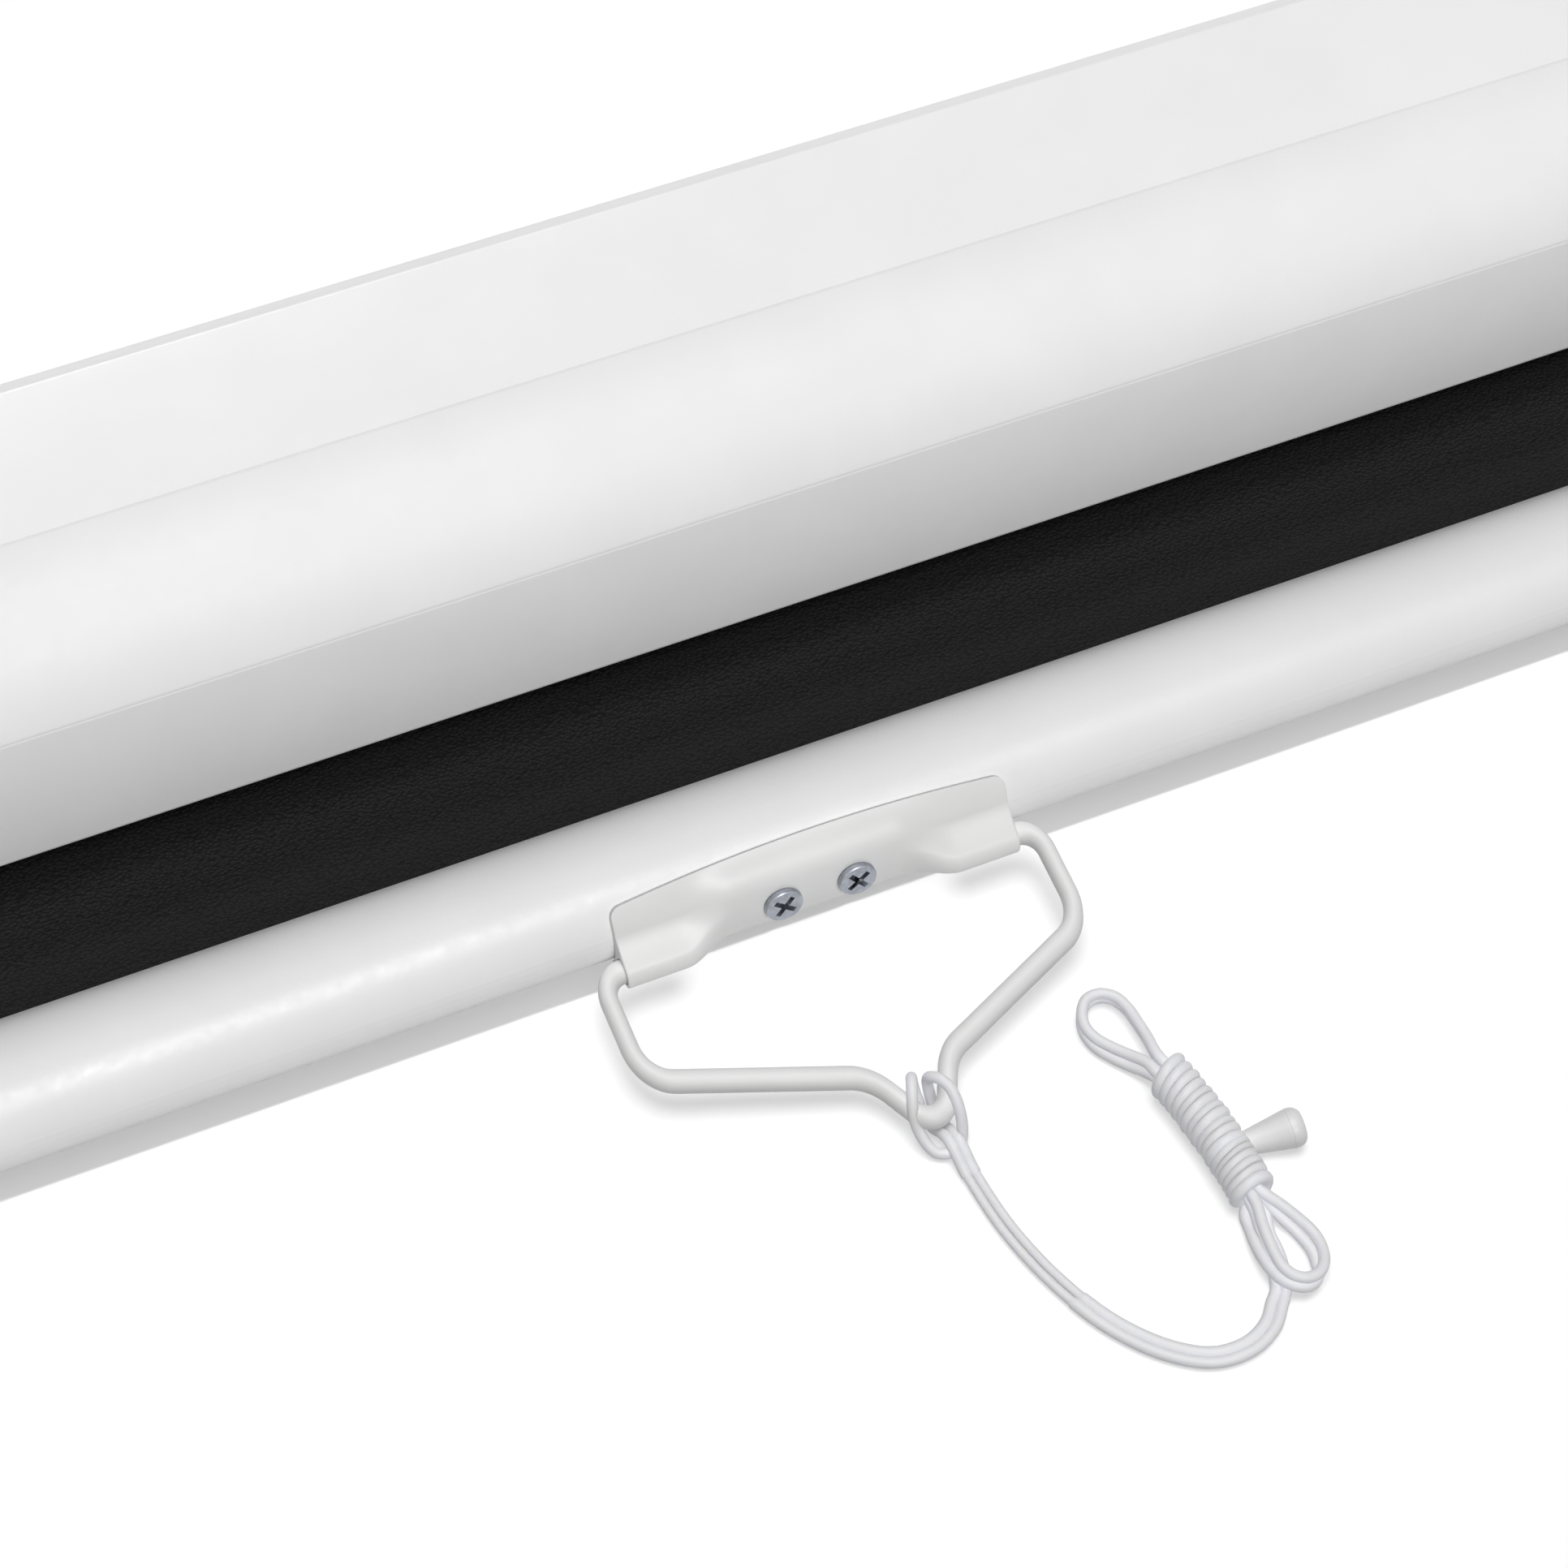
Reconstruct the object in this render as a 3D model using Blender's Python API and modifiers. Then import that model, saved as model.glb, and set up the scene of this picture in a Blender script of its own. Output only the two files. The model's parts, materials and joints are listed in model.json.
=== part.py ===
"""Pull-down projector screen, lying on its back with the screen rolled up.

X runs along the case, -Y is the way the screen pulls out, +Z points away from the wall.
The origin is the middle of the case's flat back. Units are metres.
"""
import math

import bmesh
import bpy
from mathutils import Matrix, Vector

OBJECT = "projector_screen"

# Gap that touching pieces keep
FIT = 0.0003
# Sides of a round outline
ROUND = 32

# Screen fabric: a 100 inch 16:9 picture with black borders
PICTURE_W = 2.214
PICTURE_H = 1.245
SIDE_BORDER = 0.030
BOTTOM_BORDER = 0.050
TOP_LEADER = 0.300
FABRIC_T = 0.0004
FABRIC_W = PICTURE_W + 2 * SIDE_BORDER
FABRIC_L = PICTURE_H + BOTTOM_BORDER + TOP_LEADER

# Case: a bent octagonal shell, open along one sloping facet
CASE_FLATS = 0.080
CASE_WALL = 0.0012
CASE_BEND_R = 0.0015
CASE_L = FABRIC_W + 0.076
SLOT_FRONT_LIP = 0.0035
SLOT_BACK_LIP = 0.0090
CASE_Z = CASE_FLATS / 2

# Bottom bar: a round tube with a slot and two ribs that hold the hem rod
BAR_R = 0.0127
BAR_WALL = 0.0014
BAR_SLOT = 0.0022
BAR_L = FABRIC_W + 0.016
BAR_Y = -0.0788
BAR_Z = BAR_R
RIB_T = 0.0012
RIB_REACH = 0.0073
HEM_R = 0.0030
BAR_CAP_T = 0.0030
BAR_CAP_LIP = 0.0004
BAR_PLUG_R = 0.0060
BAR_PLUG_L = 0.010
BAR_PLUG_OFFSET = 0.0035

# Roller
ROLLER_R = 0.0160
ROLLER_WALL = 0.0010
ROLLER_L = FABRIC_W + 0.010
CORE_R = ROLLER_R + FIT
ROLL_R = math.sqrt(CORE_R ** 2 + FABRIC_L * FABRIC_T / math.pi)
ROLLER_Y = 0.0
ROLLER_Z = BAR_Z + FABRIC_T / 2 + FIT + ROLL_R

# End caps and their hanging brackets
CAP_T = 0.0060
CAP_PLUG_L = 0.012
CAP_PLUG_WALL = 0.0022
CAP_RIB_T = 0.0018
BOSS_R = 0.0090
BOSS_L = 0.0140
BRACKET_T = 0.0020
BRACKET_W = 0.044
BRACKET_H = 0.060
BRACKET_FOOT = 0.032
BRACKET_BEND_R = 0.003
BRACKET_HOLE_R = 0.00275
BRACKET_SCREW_Z = 0.052
BRACKET_SCREW_Y = 0.014
SCREW_R = 0.0019
SCREW_HEAD_R = 0.0036
SCREW_HEAD_H = 0.0023
BRACKET_SCREW_L = 0.010

# Spring shaft and ratchet at the left end
SHAFT_R = 0.0050
SHAFT_FLAT = 0.0035
PLUG_L = 0.025
PLUG_FLANGE = 0.0030
RATCHET_R = 0.0085
RATCHET_FLOOR_R = 0.0061
RATCHET_NOTCHES = 8
NOTCH_RIM_HALF = math.radians(13.0)
NOTCH_FLOOR_HALF = math.radians(11.5)
RATCHET_T = 0.0035
PAWL_PIVOT_R = 0.0122
PAWL_EYE_R = 0.0026
PAWL_PIN_R = 0.00125
PAWL_ANGLES = (90.0, 270.0)
PAWL_COVER_T = 0.0012
PAWL_COVER_HOLE_R = 0.0095
SPRING_R = 0.0095
SPRING_WIRE_R = 0.0010
SPRING_PITCH = 0.009
SPRING_TURNS = 16
ANCHOR_R = 0.0120
ANCHOR_L = 0.008
BUSH_L = 0.010
BUSH_GAP = 0.0010
SHAFT_END = 0.004

# Idle end at the right
IDLE_PIN_R = 0.0040
IDLE_PLUG_L = 0.020
IDLE_COLLAR_R = 0.0070
IDLE_COLLAR_T = 0.0020
IDLE_COLLAR_GAP = 0.0010

# Handle clip, a moulded saddle screwed to the front of the bar
CLIP_HALF = 0.0385
CLIP_EDGE_T = 0.0009
CLIP_MID_T = 0.0027
CLIP_TOP_MID = math.radians(49.0)
CLIP_TOP_END = math.radians(40.0)
CLIP_FLAT_FROM = math.radians(20.0)
CLIP_LOW_MID = math.radians(-38.0)
CLIP_LOW_END = math.radians(-32.0)
CLIP_HUG_TO = math.radians(17.0)
CLIP_RING_FROM = math.radians(58.0)
SOCKET_FROM = 0.016
SOCKET_TO = 0.027
SOCKET_WALL = 0.0007
SOCKET_DEPTH = 0.0112
CLIP_CORNER_R = 0.0020
CLIP_SCREW_X = 0.0072
CLIP_SCREW_TILT = math.radians(7.5)
CLIP_SCREW_L = 0.0105
CLIP_SCREW_DROP = 0.0011
CLIP_HEAD_H = 0.0012
CLIP_HEAD_FACE_R = 0.0033

# Pull handle: a bent rod, wider through its legs than across them
ROD_R = 0.00225
ROD_SQUEEZE = 0.76
PIVOT_Y = -0.0953
PIVOT_Z = 0.0100
HANDLE_DROP = math.radians(6.0)
HANDLE_HALF = 0.0429
HANDLE_END = CLIP_HALF - SOCKET_DEPTH + FIT
TIP_X = 0.0025
TIP_S = 0.0508

# Cord on the handle, its hank and its end knob
CORD_R = 0.00105
CORD_LIFT = 0.0001
HANK_R = 0.0044
LOOP_UPPER_T = 0.0044
LOOP_LOWER_T = 0.0058
KNOB_L = 0.0106
KNOB_SEAM = 0.0080
KNOB_R = 0.00365
KNOB_NECK_R = 0.00235
KNOB_STEP = 0.0001


def case_x(side):
    """Where the case shell ends at one side, -1 left or +1 right."""
    return side * CASE_L / 2


def remove_startup_objects():
    for obj in list(bpy.data.objects):
        bpy.data.objects.remove(obj, do_unlink=True)


def collection(name):
    made = bpy.data.collections.new(name)
    bpy.context.scene.collection.children.link(made)
    return made


def material(name, colour, roughness, metallic=0.0):
    made = bpy.data.materials.new(name)
    made.use_nodes = True
    shader = made.node_tree.nodes["Principled BSDF"]
    shader.inputs["Base Color"].default_value = (*colour, 1.0)
    shader.inputs["Roughness"].default_value = roughness
    shader.inputs["Metallic"].default_value = metallic
    made.diffuse_color = (*colour, 1.0)
    return made


FINISHES = {
    "white paint": ((0.86, 0.86, 0.85), 0.45, 0.0),
    "white plastic": ((0.82, 0.82, 0.81), 0.40, 0.0),
    "black fabric": ((0.02, 0.02, 0.02), 0.80, 0.0),
    "white fabric": ((0.85, 0.85, 0.84), 0.85, 0.0),
    "zinc steel": ((0.55, 0.57, 0.62), 0.32, 1.0),
    "spring steel": ((0.30, 0.30, 0.32), 0.35, 1.0),
    "grey nylon": ((0.35, 0.35, 0.36), 0.50, 0.0),
    "white coating": ((0.88, 0.88, 0.87), 0.25, 0.0),
    "cord nylon": ((0.82, 0.82, 0.86), 0.50, 0.0),
}


def finish(obj, name, look, parts):
    """Give an object its node name, its own material and its collection."""
    obj.name = name
    obj.data.name = name
    obj.data.materials.clear()
    obj.data.materials.append(material(name, *FINISHES[look]))
    for old in list(obj.users_collection):
        old.objects.unlink(obj)
    parts.objects.link(obj)
    return obj


def smooth(obj, angle=35.0):
    obj.data.shade_smooth()
    obj.data.set_sharp_from_angle(angle=math.radians(angle))
    return obj


def curve_to_mesh(obj):
    """Turn a curve object into a closed mesh object at the same place."""
    graph = bpy.context.evaluated_depsgraph_get()
    mesh = bpy.data.meshes.new_from_object(obj.evaluated_get(graph))
    bm = bmesh.new()
    bm.from_mesh(mesh)
    bmesh.ops.remove_doubles(bm, verts=bm.verts, dist=1e-7)
    bmesh.ops.recalc_face_normals(bm, faces=bm.faces)
    bm.to_mesh(mesh)
    bm.free()
    made = bpy.data.objects.new(obj.name, mesh)
    bpy.context.scene.collection.objects.link(made)
    made.matrix_world = obj.matrix_world
    bpy.data.objects.remove(obj, do_unlink=True)
    return made


def circle(y, z, radius, count=ROUND, start=0.0):
    turn = 2 * math.pi / count
    return [(y + radius * math.cos(start + turn * i), z + radius * math.sin(start + turn * i))
            for i in range(count)]


def arc(y, z, radius, first, last, count):
    step = (last - first) / (count - 1)
    return [(y + radius * math.cos(first + step * i), z + radius * math.sin(first + step * i))
            for i in range(count)]


def octagon(flats, y=0.0, z=CASE_Z):
    """Corners of a regular octagon that lies on one flat."""
    reach = flats / 2 / math.cos(math.pi / 8)
    return circle(y, z, reach, 8, math.pi / 8)


def rounded(points, radius, count=4, closed=True):
    """Replace each corner of an outline by an arc of the given radius."""
    result = []
    total = len(points)
    for i, corner in enumerate(points):
        if not closed and i in (0, total - 1):
            result.append(tuple(corner))
            continue
        here = Vector(corner)
        before = (Vector(points[i - 1]) - here)
        after = (Vector(points[(i + 1) % total]) - here)
        corner_r = radius[i] if isinstance(radius, (list, tuple)) else radius
        half = before.angle(after) / 2
        if corner_r <= 0.0 or half > math.radians(89.5):
            result.append(tuple(corner))
            continue
        cut = min(corner_r / math.tan(half), 0.49 * before.length, 0.49 * after.length)
        real_r = cut * math.tan(half)
        centre = here + (before.normalized() + after.normalized()).normalized() * real_r / math.sin(half)
        first = here + before.normalized() * cut - centre
        last = here + after.normalized() * cut - centre
        sweep = first.angle_signed(last)
        start = math.atan2(first[1], first[0])
        for k in range(count + 1):
            angle = start - sweep * k / count
            result.append((centre[0] + real_r * math.cos(angle), centre[1] + real_r * math.sin(angle)))
    return result


def flatted(radius, flat, y, z, count=8):
    """A round bar with two flats, as an outline."""
    half = math.asin(flat / radius)
    return arc(y, z, radius, -half, half, count) + arc(y, z, radius, math.pi - half, math.pi + half, count)


def flat_piece(name, outline, depth, turn, middle, holes=()):
    """Extrude a flat outline to a depth, then turn it and move it into place."""
    data = bpy.data.curves.new(name, "CURVE")
    data.dimensions = "2D"
    data.fill_mode = "BOTH"
    data.extrude = depth / 2
    for ring in (outline, *holes):
        spline = data.splines.new("POLY")
        spline.points.add(len(ring) - 1)
        for point, (u, v) in zip(spline.points, ring):
            point.co = (u, v, 0.0, 1.0)
        spline.use_cyclic_u = True
    obj = bpy.data.objects.new(name, data)
    bpy.context.scene.collection.objects.link(obj)
    obj.rotation_euler = turn
    obj.location = middle
    bpy.context.view_layer.update()
    return curve_to_mesh(obj)


def prism(name, outline, x0, x1, holes=()):
    """Extrude a (y, z) outline along X, with holes through it."""
    return flat_piece(name, outline, abs(x1 - x0), (math.pi / 2, 0.0, math.pi / 2),
                      ((x0 + x1) / 2, 0.0, 0.0), holes)


def turned(name, profile, steps=32):
    """Revolve a profile of (along, radius) points about the local X axis."""
    mesh = bpy.data.meshes.new(name)
    bm = bmesh.new()
    verts = [bm.verts.new((along, radius, 0.0)) for along, radius in profile]
    for first, second in zip(verts, verts[1:]):
        bm.edges.new((first, second))
    bm.to_mesh(mesh)
    bm.free()
    obj = bpy.data.objects.new(name, mesh)
    bpy.context.scene.collection.objects.link(obj)
    screw = obj.modifiers.new("Turn", "SCREW")
    screw.axis = "X"
    screw.steps = steps
    screw.render_steps = steps
    screw.use_merge_vertices = True
    screw.merge_threshold = 1e-6
    bpy.context.view_layer.update()
    return curve_to_mesh(obj)


def point_along(obj, start, direction):
    """Place an object so that its local X axis runs from start along direction."""
    turn = Vector((1.0, 0.0, 0.0)).rotation_difference(Vector(direction).normalized())
    obj.matrix_world = Matrix.Translation(start) @ turn.to_matrix().to_4x4()
    return obj


def rod(name, start, end, radius, sides=24):
    """A plain round cutter or pin between two points."""
    start, end = Vector(start), Vector(end)
    length = (end - start).length
    obj = turned(name, [(0.0, 0.0), (0.0, radius), (length, radius), (length, 0.0)], sides)
    return point_along(obj, start, end - start)


def tube_through(name, points, radius, resolution=2):
    """A round tube along a list of points, with closed ends."""
    data = bpy.data.curves.new(name, "CURVE")
    data.dimensions = "3D"
    data.bevel_depth = radius
    data.bevel_resolution = resolution
    data.use_fill_caps = True
    spline = data.splines.new("POLY")
    spline.points.add(len(points) - 1)
    for point, place in zip(spline.points, points):
        point.co = (*place, 1.0)
    obj = bpy.data.objects.new(name, data)
    bpy.context.scene.collection.objects.link(obj)
    bpy.context.view_layer.update()
    return obj


def boolean(obj, others, operation, cutters):
    """Cut with, or join to, helper solids that stay hidden in their own collection."""
    for other in others:
        step = obj.modifiers.new(other.name, "BOOLEAN")
        step.operation = operation
        step.solver = "EXACT"
        step.object = other
        other.hide_render = True
        other.display_type = "WIRE"
        for old in list(other.users_collection):
            old.objects.unlink(other)
        cutters.objects.link(other)
    return obj


def smooth_curve(points, per_span):
    """Points read from a smooth curve through hand-chosen points."""
    places = [Vector(p) for p in points]
    ends = [places[0] * 2 - places[1]] + places + [places[-1] * 2 - places[-2]]
    result = []
    for i in range(len(places) - 1):
        a, b, c, d = ends[i:i + 4]
        for k in range(per_span):
            t = k / per_span
            result.append(0.5 * ((2 * b) + (c - a) * t + (2 * a - 5 * b + 4 * c - d) * t * t
                                 + (3 * b - a - 3 * c + d) * t ** 3))
    return result + [places[-1]]


# Case

def case_path():
    """The bent sheet's outer line, from the slot's front lip round to its back lip."""
    corners = octagon(CASE_FLATS)
    front, back = Vector(corners[4]), Vector(corners[5])
    along = (back - front).normalized()
    start = front + along * SLOT_FRONT_LIP
    end = back - along * SLOT_BACK_LIP
    ring = [corners[i] for i in (4, 3, 2, 1, 0, 7, 6, 5)]
    return rounded([tuple(start), *ring, tuple(end)], CASE_BEND_R, 3, closed=False)


def case_shell(parts):
    mesh = bpy.data.meshes.new("case_shell")
    bm = bmesh.new()
    verts = [bm.verts.new((case_x(-1), y, z)) for y, z in case_path()]
    edges = [bm.edges.new(pair) for pair in zip(verts, verts[1:])]
    grown = bmesh.ops.extrude_edge_only(bm, edges=edges)["geom"]
    moved = [item for item in grown if isinstance(item, bmesh.types.BMVert)]
    bmesh.ops.translate(bm, verts=moved, vec=(CASE_L, 0.0, 0.0))
    bmesh.ops.recalc_face_normals(bm, faces=bm.faces)
    outward = bm.faces[0].calc_center_median()
    if bm.faces[0].normal.dot(outward - Vector((0.0, 0.0, CASE_Z))) < 0.0:
        bmesh.ops.reverse_faces(bm, faces=bm.faces)
    bm.to_mesh(mesh)
    bm.free()
    obj = bpy.data.objects.new("case_shell", mesh)
    bpy.context.scene.collection.objects.link(obj)
    shell = obj.modifiers.new("Sheet", "SOLIDIFY")
    shell.thickness = CASE_WALL
    shell.offset = -1.0
    shell.use_even_offset = True
    return finish(obj, "case_shell", "white paint", parts)


def end_cap(side, name, bore, parts, cutters):
    """Moulded cap: a flange, a plug that fits the case, and a ribbed boss for the shaft."""
    inner = case_x(side)
    outer = inner + side * CAP_T
    plug_end = inner - side * CAP_PLUG_L
    bite = inner + side * CAP_T * 0.3
    plug_flats = CASE_FLATS - 2 * CASE_WALL - 2 * FIT
    plug_outline = rounded(octagon(plug_flats), CASE_BEND_R, 3)
    cap = prism(name, rounded(octagon(CASE_FLATS), CASE_BEND_R, 3), inner + side * FIT, outer)
    ring = prism(name + "_plug", plug_outline, plug_end, bite,
                 [octagon(plug_flats - 2 * CAP_PLUG_WALL)])
    boss = prism(name + "_boss", circle(ROLLER_Y, ROLLER_Z, BOSS_R), inner - side * BOSS_L, bite)
    joined = [ring, boss]
    reach = plug_flats / 2 - CAP_PLUG_WALL / 2
    for angle in (0.0, 90.0, 180.0, 270.0):
        turn = math.radians(angle)
        way = Vector((math.cos(turn), math.sin(turn)))
        across = Vector((-way[1], way[0])) * CAP_RIB_T / 2
        middle = Vector((0.0, CASE_Z))
        start = Vector((ROLLER_Y, ROLLER_Z)) + way * BOSS_R * 0.8
        shift = (middle - start).dot(way)
        end = start + way * (shift + reach)
        outline = [tuple(start + across), tuple(start - across), tuple(end - across), tuple(end + across)]
        joined.append(prism("%s_rib_%d" % (name, angle), outline, plug_end + side * 0.002, bite))
    boolean(cap, joined, "UNION", cutters)
    cuts = [prism(name + "_bore", bore, inner - side * (BOSS_L + 0.01), inner + side * (CAP_T / 2))]
    for y in (-BRACKET_SCREW_Y, BRACKET_SCREW_Y):
        hole = circle(y, BRACKET_SCREW_Z, SCREW_R + FIT, 16)
        cuts.append(prism("%s_hole_%d" % (name, y * 1000), hole, plug_end - side * 0.01, outer + side * 0.01))
    boolean(cap, cuts, "DIFFERENCE", cutters)
    return finish(cap, name, "white plastic", parts)


def wall_bracket(side, name, parts, cutters):
    """Bent steel bracket: one leg on the end cap, the other on the wall."""
    near = CASE_L / 2 + CAP_T + FIT
    ell = [(near, BRACKET_H), (near, 0.0), (near + BRACKET_FOOT, 0.0), (near + BRACKET_FOOT, BRACKET_T),
           (near + BRACKET_T, BRACKET_T), (near + BRACKET_T, BRACKET_H)]
    ell = [(side * x, z) for x, z in ell]
    bends = [0.0, BRACKET_BEND_R, 0.0, 0.0, BRACKET_BEND_R - BRACKET_T, 0.0]
    plate = flat_piece(name, rounded(ell, bends, 4), BRACKET_W, (math.pi / 2, 0.0, 0.0), (0.0, 0.0, 0.0))
    cuts = []
    for y in (-BRACKET_SCREW_Y, BRACKET_SCREW_Y):
        x = side * (near + BRACKET_FOOT / 2 + BRACKET_T)
        cuts.append(rod("%s_wall_%d" % (name, y * 1000), (x, y, -0.01), (x, y, 0.01), BRACKET_HOLE_R, 16))
        cuts.append(rod("%s_cap_%d" % (name, y * 1000), (side * (near - 0.01), y, BRACKET_SCREW_Z),
                        (side * (near + 0.01), y, BRACKET_SCREW_Z), SCREW_R + FIT, 16))
    boolean(plate, cuts, "DIFFERENCE", cutters)
    return finish(plate, name, "zinc steel", parts)


def screw(name, seat, direction, length, parts, steps=16, head=SCREW_HEAD_H, dome=SCREW_HEAD_R * 0.62):
    """Pan-head screw: its head rests on seat and its shank runs along direction."""
    profile = [(length, 0.0), (length, SCREW_R * 0.5), (length - SCREW_R, SCREW_R), (0.0, SCREW_R),
               (0.0, SCREW_HEAD_R), (-head * 0.45, SCREW_HEAD_R), (-head * 0.85, dome),
               (-head, dome * 0.5), (-head, 0.0)]
    obj = turned(name, profile, steps)
    point_along(obj, seat, direction)
    return smooth(finish(obj, name, "zinc steel", parts))


# Roller and its spring

def roller_end(side):
    return side * ROLLER_L / 2


def roller_ring(name, outer, hole, x0, x1, look, parts, sides=ROUND):
    obj = prism(name, circle(ROLLER_Y, ROLLER_Z, outer, sides), x0, x1, [hole])
    return finish(obj, name, look, parts)


def shaft_outline(gap=0.0):
    return flatted(SHAFT_R + gap, SHAFT_FLAT + gap, ROLLER_Y, ROLLER_Z)


def round_bore(radius, sides=ROUND):
    return circle(ROLLER_Y, ROLLER_Z, radius, sides)


def ratchet_outline():
    """Eight notches in a round rim, one of them level with each pawl's nose."""
    points = []
    for i in range(RATCHET_NOTCHES):
        middle = 2 * math.pi * i / RATCHET_NOTCHES
        following = middle + 2 * math.pi / RATCHET_NOTCHES
        points += arc(ROLLER_Y, ROLLER_Z, RATCHET_FLOOR_R, middle - NOTCH_FLOOR_HALF,
                      middle + NOTCH_FLOOR_HALF, 3)
        points += arc(ROLLER_Y, ROLLER_Z, RATCHET_R, middle + NOTCH_RIM_HALF,
                      following - NOTCH_RIM_HALF, 4)
    return points


def pawl_centre(angle):
    turn = math.radians(angle)
    return Vector((ROLLER_Y + PAWL_PIVOT_R * math.cos(turn), ROLLER_Z + PAWL_PIVOT_R * math.sin(turn)))


def pawl_outline(angle):
    """Eye round the pin, an arm, and a nose that drops into a notch."""
    turn = math.radians(angle)
    outward = Vector((math.cos(turn), math.sin(turn)))
    along = Vector((-math.sin(turn), math.cos(turn)))
    arm = [(0.0030, -0.0027), (0.0059, -0.0034), (0.0059, -0.0055), (0.0069, -0.0065), (0.0087, -0.0047),
           (0.0083, -0.0016), (0.0054, 0.0010)]
    local = arc(0.0, 0.0, PAWL_EYE_R, math.radians(80.0), math.radians(280.0), 12) + arm
    centre = pawl_centre(angle)
    return [tuple(centre + along * a + outward * n) for a, n in local]


def torsion_spring(x_start, parts):
    """Spring wire coiled round the shaft, from the drive plug to the anchor."""
    per_turn = 8
    points = []
    for i in range(SPRING_TURNS * per_turn + 1):
        turn = 2 * math.pi * i / per_turn
        points.append((x_start + SPRING_PITCH * i / per_turn, ROLLER_Y + SPRING_R * math.cos(turn),
                       ROLLER_Z + SPRING_R * math.sin(turn)))
    obj = tube_through("torsion_spring", points, SPRING_WIRE_R, 1)
    return finish(curve_to_mesh(obj), "torsion_spring", "spring steel", parts)


def drive_end(parts, cutters):
    """The spring side: drive plug, ratchet, pawls, cover, shaft, spring and anchor."""
    end = roller_end(-1)
    flange = end - PLUG_FLANGE
    plug = roller_ring("drive_plug", ROLLER_R - ROLLER_WALL - FIT, round_bore(SHAFT_R + FIT),
                       end - PLUG_FLANGE / 2, end + PLUG_L, "grey nylon", parts)
    face = prism("drive_plug_flange", circle(ROLLER_Y, ROLLER_Z, ROLLER_R), flange, end - FIT,
                 [round_bore(SHAFT_R + FIT)])
    boolean(plug, [face], "UNION", cutters)
    ratchet_x = flange - FIT
    cover_x = ratchet_x - RATCHET_T - FIT
    roller_ring_hole = shaft_outline(FIT)
    wheel = prism("ratchet_wheel", ratchet_outline(), ratchet_x - RATCHET_T, ratchet_x, [roller_ring_hole])
    finish(wheel, "ratchet_wheel", "zinc steel", parts)
    cover = prism("pawl_cover", circle(ROLLER_Y, ROLLER_Z, ROLLER_R), cover_x - PAWL_COVER_T, cover_x,
                  [round_bore(PAWL_COVER_HOLE_R)])
    plug_cuts, cover_cuts = [], []
    for number, angle in enumerate(PAWL_ANGLES, 1):
        y, z = pawl_centre(angle)
        eye = circle(y, z, PAWL_PIN_R + FIT, 16)
        pawl = prism("pawl_%d" % number, pawl_outline(angle), ratchet_x - RATCHET_T, ratchet_x, [eye])
        finish(pawl, "pawl_%d" % number, "zinc steel", parts)
        pin_start = end + PLUG_FLANGE
        pin_end = cover_x - PAWL_COVER_T
        pin = rod("pawl_pin_%d" % number, (pin_start - FIT, y, z), (pin_end, y, z), PAWL_PIN_R, 16)
        smooth(finish(pin, "pawl_pin_%d" % number, "zinc steel", parts))
        plug_cuts.append(prism("drive_plug_pin_%d" % number, eye, flange - 0.01, pin_start))
        cover_cuts.append(prism("pawl_cover_pin_%d" % number, eye, cover_x - 0.01, cover_x + 0.01))
    boolean(plug, plug_cuts, "DIFFERENCE", cutters)
    boolean(cover, cover_cuts, "DIFFERENCE", cutters)
    finish(cover, "pawl_cover", "zinc steel", parts)
    spring_x = end + PLUG_L + FIT + SPRING_WIRE_R
    torsion_spring(spring_x, parts)
    anchor_x = spring_x + SPRING_PITCH * SPRING_TURNS + SPRING_WIRE_R + FIT
    roller_ring("spring_anchor", ANCHOR_R, shaft_outline(FIT), anchor_x, anchor_x + ANCHOR_L,
                "zinc steel", parts, 28)
    bush_x = anchor_x + ANCHOR_L + BUSH_GAP
    roller_ring("shaft_bush", ROLLER_R - ROLLER_WALL - FIT, round_bore(SHAFT_R + FIT, 28), bush_x,
                bush_x + BUSH_L, "grey nylon", parts)
    shaft_start = case_x(-1) - CAP_T / 2 + FIT
    shaft = prism("spring_shaft", shaft_outline(), shaft_start, bush_x + BUSH_L + SHAFT_END)
    finish(shaft, "spring_shaft", "zinc steel", parts)


def idle_end(parts, cutters):
    """The free side: a plug that turns on a pin held in the right cap."""
    end = roller_end(1)
    plug = roller_ring("idle_plug", ROLLER_R - ROLLER_WALL - FIT, round_bore(IDLE_PIN_R + FIT, 24),
                       end - IDLE_PLUG_L, end + PLUG_FLANGE / 2, "grey nylon", parts)
    face = prism("idle_plug_flange", circle(ROLLER_Y, ROLLER_Z, ROLLER_R), end + FIT, end + PLUG_FLANGE,
                 [round_bore(IDLE_PIN_R + FIT, 24)])
    boolean(plug, [face], "UNION", cutters)
    collar = end + PLUG_FLANGE + IDLE_COLLAR_GAP
    start = end - IDLE_PLUG_L + 0.002
    stop = case_x(1) + CAP_T / 2 - FIT
    profile = [(start, 0.0), (start, IDLE_PIN_R), (collar, IDLE_PIN_R), (collar, IDLE_COLLAR_R),
               (collar + IDLE_COLLAR_T, IDLE_COLLAR_R), (collar + IDLE_COLLAR_T, IDLE_PIN_R),
               (stop, IDLE_PIN_R), (stop, 0.0)]
    pin = turned("idle_pin", profile, 24)
    pin.location = (0.0, ROLLER_Y, ROLLER_Z)
    smooth(finish(pin, "idle_pin", "zinc steel", parts))


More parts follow.
